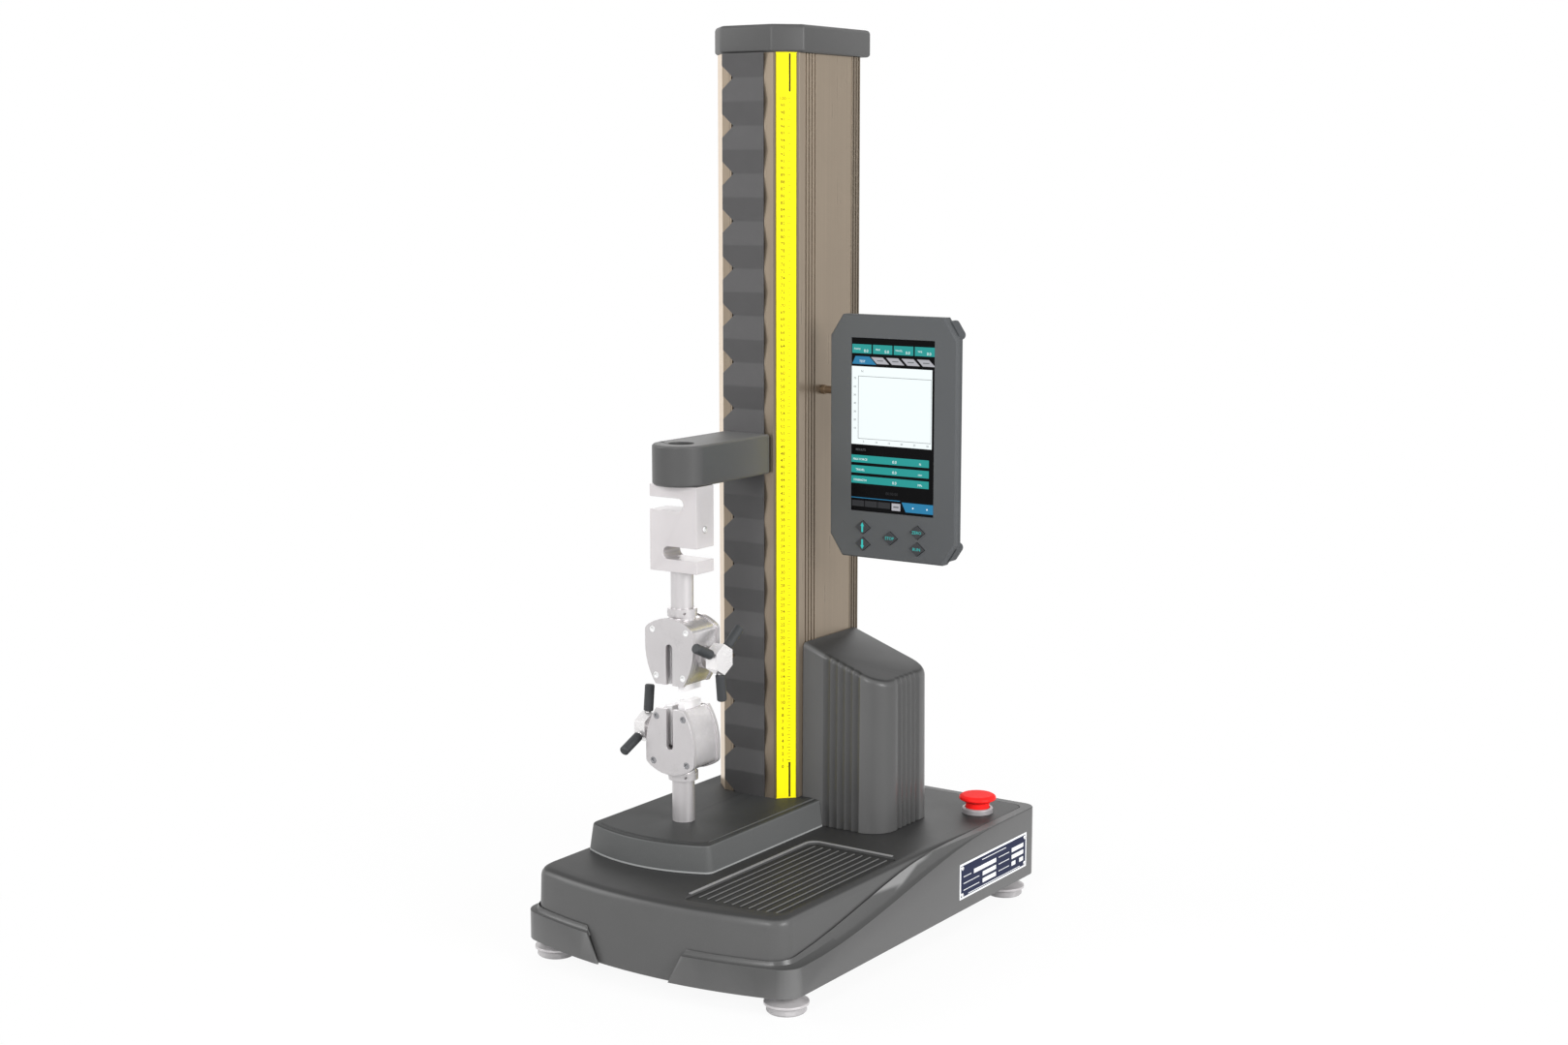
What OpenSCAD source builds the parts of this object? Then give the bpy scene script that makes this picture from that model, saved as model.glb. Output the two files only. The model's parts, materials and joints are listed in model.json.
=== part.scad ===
// Bench-top universal testing machine: one column, a screw-driven crosshead with a load cell,
// two screw grips, a tilting display and a moulded base. Millimetres.
// Working frame: x = 0 on the load axis, y = 0 on the column's front face, z = 0 under the base shells.
// The finished part is shifted so that its origin is on the ground, under the middle of its box.

/* [Base] */
// Width of the base skirt
base_w = 283; // [276:1:300]
// Height of the base shells
base_h = 65.6; // [62:0.1:72]
// Distance from the column's front face to the front apex of the base
base_front = 243; // [238:1:262]
// Distance from the column's front face to the rear wall
base_rear = 197; // [192:1:220]
// Share of the base's width by which the load axis lies left of its middle
load_share = 0.1961; // [0.19:0.0001:0.203]
// Radius of the bowed front
base_front_r = 430; // [380:5:600]
// Radius of the skirt's front corners
base_corner_r = 20; // [16:1:26]
// Radius of the skirt's rear corners
base_rear_r = 11; // [10.5:0.5:16]
// Depth of the skirt's step at the sides
side_step = 9; // [8:0.5:10]
// Depth of the skirt's step at the front
front_step = 4; // [3:0.5:5]
// Height of the skirt's face at the front
skirt_front_h = 25; // [20:1:30]
// Height of the hollow moulding above the skirt's face at the front
skirt_lip_h = 5; // [4:0.5:7]
// Radius of the cover's upper edge
cover_edge_r = 8; // [6:0.5:9]
// Slant of the cover's walls, bottom to top
cover_draft = 1.6; // [1:0.1:2]
// Thickness of the cover's top
cover_top_t = 5.5; // [5:0.1:7]
// Thickness of the cover's walls
shell_t = 3; // [2.5:0.1:3.5]
// Thickness of the steel floor
floor_t = 3; // [2:0.5:5]
// Middle of the skirt's front gap, right of the load axis
gap_mid = 49.5; // [46:0.5:54]
// Width of the skirt's front gap at the bottom
gap_w = 75; // [60:1:84]
// Slant of the gap's edges from upright, degrees
gap_lean = 27.5; // [15:0.5:32]

/* [Tray] */
// Distance of the tray from the deck's foot
tray_from_deck = 18; // [16:0.5:20]
// Distance of the tray from the base's right side
tray_side = 19.5; // [19:0.5:25]
// Distance of the tray's rear edge ahead of the column
tray_gap = 23; // [20:1:40]
// Distance of the tray's front edge behind the bowed front
tray_margin = 21; // [20:1:30]
// Depth of the tray
tray_depth = 2.8; // [2:0.1:3.4]
// Radius of the tray's corners
tray_r = 8; // [6:0.5:12]
// Width of the raised rim beside the tray
rim_w = 2.6; // [2:0.1:3.5]
// Height of the raised rim
rim_h = 0.9; // [0.5:0.1:1.5]
// Thickness of the mat without its ribs
mat_t = 1.2; // [0.8:0.1:1.6]
// Height of the mat's ribs
rib_h = 0.9; // [0.5:0.1:1.2]
// Width of a rib
rib_w = 1.5; // [1:0.1:2.5]
// Spacing of the ribs
rib_pitch = 8.4; // [7:0.1:12]

/* [Deck] */
// Distance of the deck's foot from the base's left side
deck_side = 18.5; // [17.5:0.5:20]
// Height of the deck
deck_h = 25.5; // [22:0.5:30]
// Distance from the column's front face to the deck's front
deck_front = 171; // [165:1:178]
// Distance from the column's front face to the deck's rear
deck_rear = 128; // [125:1:135]
// Radius of the deck's bowed front
deck_front_r = 140; // [120:5:200]
// Radius of the deck's upright corners
deck_corner_r = 9; // [8:0.5:12]
// Slant of the deck's walls, bottom to top
deck_draft = 3; // [2:0.1:3.5]
// Radius of the deck's upper edge
deck_edge_r = 2; // [1:0.1:3]
// Width of the low border round the deck's top
border_w = 4; // [3:0.5:6]
// Depth of that border
border_dip = 0.8; // [0.4:0.1:1.2]

/* [Feet] */
// Height of the base above the ground
foot_h = 18; // [16:0.5:24]
// Diameter of a foot's plate
foot_d = 38; // [34:1:42]
// Diameter of the rubber pad
pad_d = 34; // [28:1:36]
// Height of the rubber pad
pad_h = 7; // [5:0.5:9]
// Thickness of the foot's plate
plate_t = 4; // [3:0.5:5]
// Diameter of the foot's stud
stud_d = 10; // [8:1:12]
// Distance of the feet from the base's sides
foot_side = 19.5; // [19.5:0.5:24]
// Distance of the front feet behind the bowed front
foot_in = 25.3; // [20:0.1:32]
// Distance of the rear feet ahead of the rear wall
foot_rear_in = 27; // [24:1:37]

/* [Column] */
// Width of the column
col_w = 88.4; // [84:0.2:90]
// Depth of the column
col_d = 120; // [118:1:126]
// Height of the column
col_h = 675; // [560:5:900]
// Size of the front corner chamfers
col_chamfer = 16.6; // [15:0.1:18]
// Wall thickness of the column
col_wall = 5; // [4:0.1:5.2]
// Width of the front slot
slot_w = 39; // [38:0.5:42]
// Width of a side groove
groove_w = 2; // [1:0.1:2.5]
// Depth of a side groove
groove_d = 1.2; // [0.6:0.1:1.8]
// Depth of the plain panel between the grooves
panel_dip = 0.5; // [0.2:0.1:1]
// Overhang of the cap over the column's sides
cap_over = 4.4; // [3:0.1:6]
// Overhang of the cap at the front
cap_front = 2.8; // [2:0.1:4]
// Overhang of the cap at the rear
cap_rear = 9.5; // [4:0.5:12]
// Height of the cap
cap_h = 24.3; // [18:0.1:30]
// Radius of the cap's upper edge
cap_edge_r = 3.5; // [2:0.1:5]
// Width of the scale strip
ruler_w = 18.8; // [16:0.1:20]
// Thickness of the scale strip
ruler_t = 0.6; // [0.4:0.1:1]

/* [Slot covers] */
// How far the folds stand proud of the column
fold_front = 9; // [8:0.1:10]
// How far the folds reach into the slot
fold_back = 0.7; // [0.2:0.1:2]
// Width of the cover at its outer folds
fold_wide = 42.8; // [42:0.2:46]
// Width of the cover at its inner folds
fold_narrow = 31.4; // [30:0.2:34]
// Thickness of the cover
fold_t = 1.2; // [0.8:0.1:1.5]
// Folds above the arm
upper_fold_n = 8; // [6:1:10]
// Folds below the arm
lower_fold_n = 7; // [5:1:9]

/* [Drive] */
// Distance of the lead screw behind the column's front face
screw_y = 62; // [60:0.5:64]
// Diameter of the lead screw
screw_d = 16; // [14:0.5:18]
// Diameter of a guide rod
rod_d = 14; // [12:0.5:15]
// Distance between the guide rods
rod_gap = 52; // [51:0.5:53]
// Outer diameter of a screw bearing
bearing_d = 32; // [28:1:35]
// Height of a screw bearing
bearing_h = 9; // [8:0.5:11]
// Height of a bearing block
block_h = 16; // [15:0.5:20]
// Diameter of the screw's pulley
big_pulley_d = 60; // [50:1:64]
// Diameter of the motor's pulley
small_pulley_d = 30; // [26:1:34]
// Height of the pulleys
pulley_h = 14; // [13:0.5:16]
// Thickness of the belt
belt_t = 3; // [2:0.1:4]
// Width of the belt
belt_w = 9; // [8:0.5:10]
// Width of the motor
motor_w = 60; // [50:1:62]
// Height of the motor
motor_h = 112; // [90:1:118]

/* [Motor housing] */
// Width of the housing, from the column's side
house_w = 86.5; // [84:0.5:90]
// Distance of the housing's front behind the column's front face
house_y = 22; // [21:0.5:24]
// Depth of the housing
house_d = 93; // [90:1:96]
// Height of the housing beside the column
house_h = 170.4; // [160:0.2:220]
// Slope of the housing's top, degrees
house_slope = 19.5; // [10:0.5:22]
// Radius of the front upright corner
house_front_r = 24; // [18:1:26]
// Radius of the rear upright corner
house_rear_r = 22; // [16:1:24]
// Radius of the housing's upper edge
house_edge_r = 5; // [3:0.5:6]
// Wall of the housing
house_t = 3; // [2:0.1:3.5]
// Spacing of the flutes
flute_pitch = 8; // [7:0.1:9]
// Depth of the flutes
flute_d = 1.5; // [0.8:0.1:1.8]
// Flutes on the front
flutes_front = 5; // [3:1:6]
// Flutes on the side
flutes_side = 5; // [3:1:5]

/* [Crosshead] */
// Distance of the load axis ahead of the column's front face
reach = 101.5; // [96:0.5:112]
// Width and nose diameter of the arm
arm_w = 51; // [48:1:54]
// Height of the arm
arm_h = 35.8; // [32:0.2:42]
// Height of the arm's underside above the deck
arm_z = 302.1; // [300:0.1:320]
// Chamfer round the arm's faces
arm_edge = 1.6; // [1:0.1:2.5]
// Diameter of the arm's bolt well
well_d = 23; // [21:0.5:26]
// Depth of the bolt well
well_h = 22; // [16:0.5:24]
// Height of the carriage
carriage_h = 60; // [56:1:70]
// Outer diameter of the screw nut
nut_d = 27; // [25:0.5:27]
// Outer diameter of a guide bush
bush_d = 23; // [20:0.5:23]

/* [Load cell] */
// Width of the load cell
cell_w = 50.8; // [48:0.2:54]
// Thickness of the load cell
cell_t = 25.4; // [24:0.2:30]
// Height of the load cell
cell_h = 76.2; // [74:0.2:80]
// Height of its slots
cell_slot = 11.3; // [9:0.1:12]
// Thickness of its ends
cell_end = 11; // [10.5:0.1:13]
// How far the slots pass the load axis
cell_past = 5.5; // [3:0.5:8]

/* [Grips] */
// Largest width of a grip
grip_w = 52.4; // [50:0.2:56]
// Depth of a grip, front plate to rear plate
grip_d = 40; // [38:0.5:44]
// Thickness of a grip's plates
side_t = 4; // [3:0.1:5]
// Radius of the grip's crown
crown_r = 40; // [36:1:50]
// Height of the crown above the handle's axis
crown_h = 34.5; // [33:0.5:38]
// Depth of the grip's mouth below the handle's axis
mouth_h = 25; // [24:0.5:28]
// Radius of the long curve down to the mouth
cheek_r = 60; // [56:1:70]
// Where the long curve starts, above the handle's axis
cheek_z = 10; // [8:0.5:12]
// Width of the jaw gap when open
jaw_gap = 7; // [6.2:0.1:8]
// Thickness of a jaw
jaw_t = 7.5; // [6:0.1:7.5]
// Width of a jaw, front to rear
jaw_w = 24; // [18:0.5:28]
// Height of a jaw above the handle's axis
jaw_top = 9; // [8:0.5:10]
// How far the longer jaw stands out of the mouth
jaw_out = 6; // [3:0.5:8]
// How far the shorter jaw stands out of the mouth
jaw_short = 1; // [0.5:0.1:2]
// Diameter of the load rods
spigot_d = 20; // [18:0.5:22]
// Diameter of their collars
collar_d = 26.4; // [24:0.2:28]
// Height of the collars
collar_h = 7; // [5:0.5:8]
// Diameter of the threaded ends
thread_d = 12; // [10:0.5:12]
// Height of the upper handle's axis below the load cell
upper_drop = 74.7; // [72:0.1:90]
// Height of the lower handle's axis above the deck
lower_rise = 79.5; // [78:0.1:81]

/* [Handles] */
// Diameter of the handle's screw
handle_d = 10; // [8:0.5:10]
// Width across the hub's flats
hub_flats = 24; // [20:0.5:26]
// Thickness of the hub
hub_t = 11.6; // [10:0.2:14]
// Distance of the hub's inner face from the load axis
hub_x = 34; // [33.5:0.5:38]
// Radius from the hub to a spoke's tip
spoke_r = 38.5; // [34:0.5:40]
// Diameter of a spoke
spoke_d = 5; // [4:0.5:6]
// Diameter of a spoke's sleeve
sleeve_d = 8.8; // [8:0.2:10]
// Where the sleeves start
sleeve_start = 14; // [13.5:0.5:16]
// Turn of the first spoke, degrees
spoke_turn = 36; // [0:1:60]

/* [Display] */
// Width of the display
display_w = 130; // [128:1:134]
// Height of the display
display_h = 217.5; // [214:0.5:222]
// Left edge of the display, right of the load axis
display_x = 70.5; // [70:0.5:72]
// Distance of the display's face behind the column's front face
display_y = 28; // [24:0.5:30]
// Height of the display's lower edge above the deck
display_z = 229; // [190:1:260]
// Width of the corner cuts
corner_x = 12.7; // [10:0.1:14]
// Height of the corner cuts
corner_z = 19; // [15:0.5:20]
// Thickness of the front shell
bezel_t = 6; // [5:0.1:7]
// Thickness of the rear shell
back_t = 12; // [10:0.5:14]
// Half thickness of the corner guards
guard_r = 4.5; // [3.5:0.5:5]
// How far the corner guards stand proud of the corner cuts
guard_out = 1.2; // [0.4:0.1:1.6]
// Width of the screen
screen_w = 85; // [80:0.5:88]
// Height of the panel below the screen
key_zone = 42.3; // [42:0.1:48]
// Distance of the screen below the display's top
screen_top = 20.6; // [18:0.1:24]
// Width of a key
key_w = 15.6; // [12:0.2:16]
// Height of a key
key_h = 12.4; // [9:0.2:13]
// How far a key stands proud
key_out = 1.2; // [0.8:0.1:1.6]
// Diameter of the display's post
post_d = 7; // [6:0.5:9]
// Height of the post above the display's lower edge
post_z = 146; // [140:1:160]
// Distance of the post behind the display's face
post_y = 28; // [27:0.5:32]

/* [Stop button] */
// Distance of the stop button from the base's right side
stop_side = 35; // [29:1:39]
// Distance of the stop button behind the column's front face
stop_y = 144; // [135:1:152]
// Diameter of the fixed ring
ring_d = 29; // [26:0.5:34]
// Height of the fixed ring
ring_h = 5.5; // [5:0.5:7]
// Diameter of the head
head_d = 35; // [32:0.5:40]
// Height of the head above its neck
head_h = 8.5; // [7:0.5:12]
// Diameter of the neck
neck_d = 23; // [20:0.5:23]
// Travel of the button
stop_travel = 4; // [3:0.5:4.5]

/* [Mains inlet] */
// Width of the inlet's frame
inlet_w = 30; // [28:0.5:34]
// Height of the inlet's frame
inlet_h = 50; // [48:0.5:52]
// Thickness of the frame outside the wall
inlet_rim = 2.5; // [2:0.1:3]
// Depth of the inlet behind the wall
inlet_d = 22; // [18:0.5:26]
// Distance of the inlet from the base's right side
inlet_side = 51.5; // [46.5:0.5:61.5]

/* [Hidden] */
$fn = 64;
// Overrun of cuts, clearance of seated pieces, clearance of turning fits and of sliding pieces
over = 1;
seat = 0.2;
run = 0.05;
slip = 0.3;
// Small edge cuts
soft = 1;

// Places that follow from the sizes above
deck_z = base_h + deck_h;
col_top = deck_z + col_h;
arm_bottom = deck_z + arm_z;
arm_top = arm_bottom + arm_h;
cell_bottom = arm_bottom - cell_h;
upper_axis = cell_bottom - upper_drop;
lower_axis = deck_z + lower_rise;
col_half = col_w / 2;
col_flat = col_half - col_chamfer;
panel_x = col_half - panel_dip;
grip_y = -reach;
house_left = col_half + seat;
house_right = col_half + house_w;
house_top = base_h + house_h;
house_wall = house_t + flute_d;
house_draft = 1;
motor_x = (house_left + house_right) / 2;
motor_y = house_y + house_d / 2;
screen_mid = display_x + display_w / 2;
display_low = deck_z + display_z;
pivot_y = display_y + post_y;
pivot_z = display_low + post_z;
load_off = load_share * base_w;
base_left = load_off - base_w / 2;
base_right = load_off + base_w / 2;
deck_w = -2 * (base_left + deck_side);
tray_left = deck_w / 2 + tray_from_deck;
tray_w = base_right - tray_side - tray_left;
foot_gap_x = base_w - 2 * foot_side;
foot_front = base_front - base_front_r + sqrt(pow(base_front_r, 2) - pow(foot_gap_x / 2, 2)) - foot_in;
foot_rear = base_rear - foot_rear_in;
stop_x = base_right - stop_side;
screen_h = display_h - screen_top - key_zone;
gap_near = gap_mid + gap_w / 2 - load_off;
front_reach = base_front - base_front_r + sqrt(pow(base_front_r, 2) - pow(gap_near, 2));
rear_reach = base_rear + inlet_rim;
right_reach = max(base_right, display_x + display_w);
mid_x = (base_left + right_reach) / 2;
mid_y = (rear_reach - front_reach) / 2;

// Steps along arcs and levels of the rounded edges
arc_n = 7;
corner_n = 6;
side_n = 13;
edge_n = 4;

// The skirt's rising edge: where it starts and ends along the sides, and its hollow moulding
rise_start = 200;
rise_end = 120;
lip_start = 240;
lip_end = 40;
rear_drop = 0.8;
fade_start = 30;
fade_end = 120;
fade_full_share = 0.94;
fade_least_share = 0.06;
flush_share = 0.05;
pocket_share = 0.5;
pocket_top = 3;
cove_shares = [[0.45, 0.12], [0.8, 0.4]];

// Shell openings, feet holes and the wells round the drive
shaft_d = 12;
shaft_clear = 4;
drive_hole_d = screw_d + 2 * shaft_clear;
motor_hole_d = shaft_d + 2 * shaft_clear;
cover_seat = 0.3;
upper_hollow = 12;
edge_hollow = 8;

// Shared geometry

// Moves a piece from the working frame to the part's own frame
module placed() {
    translate([-mid_x, -mid_y, foot_h]) children();
}

// Smooth rise from 0 to 1
function smooth(t) = let (u = min(max(t, 0), 1)) u * u * (3 - 2 * u);

// Point between two points
function between(a, b, share) = a + (b - a) * share;

// Points of an arc about a centre, angles measured from straight down towards +x
function bow(centre, r, a0, a1, n) =
    [for (i = [0:n]) let (a = a0 + (a1 - a0) * i / n) centre + r * [sin(a), -cos(a)]];

// Right half of an outline with a bowed front, from the front apex round to the rear corner
function bowed_half(half, front, bow_r, corner_r, rear, rear_r, start, sides) =
    let (
        apex = [0, bow_r - front],
        turn = asin((half - corner_r) / (bow_r - corner_r)),
        corner = apex + (bow_r - corner_r) * [sin(turn), -cos(turn)],
        back = [half - rear_r, rear - rear_r]
    )
    concat(
        bow(apex, bow_r, start, turn, arc_n),
        bow(corner, corner_r, turn + (90 - turn) / corner_n, 90, corner_n - 1),
        [for (i = [1:sides]) [half, between(corner[1], back[1], i / (sides + 1))]],
        bow(back, rear_r, 90, 180, corner_n)
    );

// The same outline closed: the right half and its mirror image
function closed_bow(p) =
    concat(p, [for (i = [len(p) - 1:-1:1]) [-p[i][0], p[i][1]]]);

// Rounded corner between two edges of an outline
function round_corner(a, b, c, r, n) =
    let (
        u = (a - b) / norm(a - b),
        v = (c - b) / norm(c - b),
        half = acos(u * v) / 2,
        centre = b + (u + v) / norm(u + v) * r / sin(half),
        p = b + u * r / tan(half) - centre,
        q = b + v * r / tan(half) - centre,
        a0 = atan2(p[1], p[0]),
        turn = (atan2(q[1], q[0]) - a0 + 540) % 360 - 180
    )
    [for (i = [0:n]) centre + r * [cos(a0 + turn * i / n), sin(a0 + turn * i / n)]];

// Outline with every corner rounded
function rounded(points, r, n) =
    let (m = len(points))
    [for (i = [0:m - 1]) each round_corner(points[(i + m - 1) % m], points[i], points[(i + 1) % m], r, n)];

// Rectangle with chamfered front corners, or with all four cut
function cut_box(x0, x1, y0, y1, cx, cy, rear_cut) = concat(
    [[x0 + cx, y0], [x1 - cx, y0], [x1, y0 + cy]],
    rear_cut ? [[x1, y1 - cy], [x1 - cx, y1], [x0 + cx, y1], [x0, y1 - cy]] : [[x1, y1], [x0, y1]],
    [[x0, y0 + cy]]
);

// Closed skin over a stack of equal rings of 3-D points, lowest first and anticlockwise from above
module skin(rings) {
    n = len(rings[0]);
    m = len(rings);
    points = [for (ring = rings) each ring];
    walls = [
        for (k = [0:m - 2], i = [0:n - 1])
            let (a = k * n + i, b = k * n + (i + 1) % n)
            each [[a, a + n, b + n], [a, b + n, b]]
    ];
    floor_face = [for (i = [0:n - 1]) i];
    top_face = [for (i = [n - 1:-1:0]) (m - 1) * n + i];
    polyhedron(points = points, faces = concat([floor_face], walls, [top_face]));
}

// Block between two corners
module block(low, high) {
    translate(low) cube(high - low);
}

// Bar of round section along x from x0 to x1
module bar_x(x0, x1, y, z, d) {
    translate([x0, y, z]) rotate([0, 90, 0]) cylinder(h = x1 - x0, d = d);
}

// Bar of round section along y from y0 to y1
module bar_y(x, y0, y1, z, d) {
    translate([x, y1, z]) rotate([90, 0, 0]) cylinder(h = y1 - y0, d = d);
}

// Flat outline in x and z, raised along y from y0 to y1
module slab_y(points, y0, y1) {
    translate([0, y1, 0]) rotate([90, 0, 0]) linear_extrude(y1 - y0) polygon(points);
}

// Base

function base_path(in_side, in_front, in_rear, start) = bowed_half(
    base_w / 2 - in_side, base_front - in_front, base_front_r, base_corner_r, base_rear - in_rear,
    base_rear_r, start, side_n);

function skirt_low(y) = between(skirt_front_h, base_h - rear_drop, smooth((y + rise_start) / (rise_start + rise_end)));
function skirt_up(y) = between(skirt_front_h + skirt_lip_h, base_h, smooth((y + lip_start) / (lip_start + lip_end)));
function skirt_fade(y) =
    between(fade_full_share, fade_least_share, smooth((y + fade_start) / (fade_start + fade_end)));

// Section of the skirt at one place: shares of the step and heights
function skirt_section(y) =
    let (low = skirt_low(y), up = skirt_up(y), fade = skirt_fade(y))
    concat(
        [[0, 0], [0, low]],
        [for (c = cove_shares) [c[0] * fade, between(low, up, c[1])]],
        [[fade, up], [1, up], [1, low - pocket_top], [pocket_share, low - pocket_top], [pocket_share, 0]]
    );

// Skirt wall as one skin of sections along its path, open at the front
module skirt_wall() {
    start = asin(gap_near / base_front_r) / 2;
    outer = base_path(0, 0, 0, start);
    inner = base_path(side_step, front_step, side_step, start);
    last = len(outer) - 1;
    far = [for (i = [last:-1:0]) [-outer[i][0], outer[i][1]]];
    near = [for (i = [last:-1:0]) [-inner[i][0], inner[i][1]]];
    path = concat(outer, far);
    step = concat(inner, near);
    rings = [
        for (i = [0:len(path) - 1])
            [for (s = skirt_section(path[i][1])) let (p = between(path[i], step[i], s[0])) [p[0], p[1], s[1]]]
    ];
    n = len(rings[0]);
    m = len(rings);
    points = [for (ring = rings) each ring];
    walls = [
        for (k = [0:m - 2], i = [0:n - 1])
            let (a = k * n + i, b = k * n + (i + 1) % n)
            each [[a, b, b + n], [a, b + n, a + n]]
    ];
    start_face = [for (i = [n - 1:-1:0]) i];
    end_face = [for (i = [0:n - 1]) (m - 1) * n + i];
    polyhedron(points = points, faces = concat([start_face], walls, [end_face]));
}

// Prism that opens the skirt's front gap
module skirt_gap() {
    lean = tan(gap_lean);
    top = skirt_front_h + skirt_lip_h + over;
    slab_y(
        [
            [gap_mid - gap_w / 2 + lean * over, -over], [gap_mid + gap_w / 2 - lean * over, -over],
            [gap_mid + gap_w / 2 + lean * top, top], [gap_mid - gap_w / 2 - lean * top, top]
        ],
        -base_front - over, -base_front + base_corner_r + over
    );
}

module base_skirt() {
    color("#46474a") placed() difference() {
        translate([load_off, 0, 0]) skirt_wall();
        skirt_gap();
        inlet_hole(base_rear + over);
    }
}

// Levels of the cover's outside: share of the way up its wall, and turn round its upper edge
cover_levels = concat([0, 1], [for (i = [1:edge_n]) 1 + i / edge_n]);

// Full strength of the rounded edge at the front, fading where the skirt runs flush at the rear
function cover_soft(y) = between(1, flush_share, smooth((y + fade_start) / (fade_start + fade_end)));

function cover_ring(level) =
    let (
        inset = side_step + seat,
        front_inset = front_step + seat,
        deep = cover_draft + cover_edge_r,
        a = closed_bow(base_path(inset, front_inset, inset, 0)),
        b = closed_bow(base_path(inset + deep, front_inset + deep, inset + deep, 0)),
        turn = 90 * max(level - 1, 0)
    )
    [
        for (i = [0:len(a) - 1])
            let (
                fade = cover_soft(a[i][1]),
                r = cover_edge_r * fade,
                slant = cover_draft * fade * min(level, 1),
                p = between(a[i], b[i], (slant + r * (1 - cos(turn))) / deep),
                z = level == 0 ? 0 : base_h - r + r * sin(turn)
            )
            [p[0], p[1], z]
    ];

// Plan of the cover's hollow, a wall inside its foot
module cover_hollow(wall, z0, z1) {
    inset = side_step + seat + wall;
    outline = closed_bow(base_path(inset, front_step + seat + wall, inset, 0));
    translate([load_off, 0, z0]) linear_extrude(z1 - z0) polygon(outline);
}

// Plan of the tray, grown by a margin
function tray_plan(grow) =
    let (
        x0 = tray_left - grow - load_off,
        x1 = tray_left + tray_w + grow - load_off,
        r = base_front_r - tray_margin + grow,
        cy = base_front_r - base_front,
        y0 = cy - sqrt(pow(r, 2) - pow(x0, 2)),
        y1 = cy - sqrt(pow(r, 2) - pow(x1, 2)),
        xm = (x0 + x1) / 2,
        ym = cy - sqrt(pow(r, 2) - pow(xm, 2)),
        rear = -tray_gap + grow
    )
    rounded([[x0, y0], [xm, ym], [x1, y1], [x1, rear], [x0, rear]], tray_r + grow, corner_n);

module tray_shape(grow, z0, z1) {
    translate([load_off, 0, z0]) linear_extrude(z1 - z0) polygon(tray_plan(grow));
}

// Raised rim on the tray's left and rear
module tray_rim() {
    difference() {
        tray_shape(rim_w, base_h - over, base_h + rim_h);
        tray_shape(0, base_h - 2 * over, base_h + 2 * over);
        block(
            [tray_left + tray_w - tray_r, -base_front, base_h - 2 * over],
            [tray_left + tray_w + 2 * rim_w, 0, base_h + 2 * over]
        );
        block(
            [tray_left + tray_r, -base_front, base_h - 2 * over],
            [tray_left + tray_w + 2 * rim_w, -base_front / 2, base_h + 2 * over]
        );
        block(
            [tray_left - 2 * rim_w, -base_front, base_h - 2 * over],
            [tray_left + tray_w, -base_front + tray_margin + 2 * tray_r, base_h + 2 * over]
        );
    }
}

module base_cover() {
    color("#4a4b4e") placed() difference() {
        union() {
            translate([load_off, 0, 0]) skin([for (level = cover_levels) cover_ring(level)]);
            tray_rim();
        }
        cover_hollow(shell_t, -over, base_h - upper_hollow);
        cover_hollow(edge_hollow, base_h - upper_hollow - over, base_h - cover_top_t);
        tray_shape(0, base_h - tray_depth, base_h + 2 * over);
        translate([0, screw_y, base_h / 2]) cylinder(h = base_h, d = drive_hole_d);
        translate([motor_x, motor_y, base_h / 2]) cylinder(h = base_h, d = motor_hole_d);
        translate([stop_x, stop_y, base_h / 2]) cylinder(h = base_h, d = stem_d + 2 * seat);
        inlet_hole(base_rear);
    }
}

module base_plate() {
    inset = side_step + 2 * seat + shell_t;
    outline = closed_bow(base_path(inset, front_step + 2 * seat + shell_t, inset, 0));
    color("#6b6e72") placed() difference() {
        translate([load_off, 0, 0]) linear_extrude(floor_t) polygon(outline);
        at_feet() translate([0, 0, -over]) cylinder(h = floor_t + 2 * over, d = stud_d + 2 * seat);
    }
}

module tray_mat() {
    ribs = floor((tray_w - 2 * tray_r) / rib_pitch);
    first = tray_left + (tray_w - ribs * rib_pitch) / 2;
    front = -base_front + tray_margin + 2 * tray_r;
    color("#3a3b3d") placed() {
        tray_shape(-seat, base_h - tray_depth, base_h - tray_depth + mat_t);
        for (i = [0:ribs]) {
            block(
                [first + i * rib_pitch - rib_w / 2, front, base_h - tray_depth + mat_t / 2],
                [first + i * rib_pitch + rib_w / 2, -tray_gap - tray_r, base_h - tray_depth + mat_t + rib_h]
            );
        }
    }
}

// Feet

module at_feet() {
    for (x = [-foot_gap_x / 2, foot_gap_x / 2], y = [-foot_front, foot_rear]) {
        translate([load_off + x, y, 0]) children();
    }
}

pad_edge = 1.5;
stud_top = foot_h - pad_h + floor_t + stud_d;

module foot_pads() {
    color("#b9babb") placed() at_feet() translate([0, 0, -foot_h]) rotate_extrude()
        polygon([
            [0, 0], [pad_d / 2 - pad_edge, 0], [pad_d / 2, pad_edge], [pad_d / 2 - pad_edge / 2, pad_h], [0, pad_h]
        ]);
}

module foot_studs() {
    nut_h = foot_h - pad_h - 2 * plate_t;
    color("#c6c7c8") placed() at_feet() translate([0, 0, pad_h - foot_h]) {
        rotate_extrude() polygon([
            [0, 0], [foot_d / 2, 0], [foot_d / 2, plate_t / 2], [foot_d / 2 - plate_t, plate_t],
            [stud_d, 2 * plate_t], [stud_d / 2, 2 * plate_t], [stud_d / 2, stud_top], [0, stud_top]
        ]);
        translate([0, 0, 2 * plate_t]) cylinder(h = nut_h, d = 2 * stud_d, $fn = 6);
    }
}

// Mains inlet on the rear wall: a socket below and a rocker switch above it, in one frame

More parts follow.
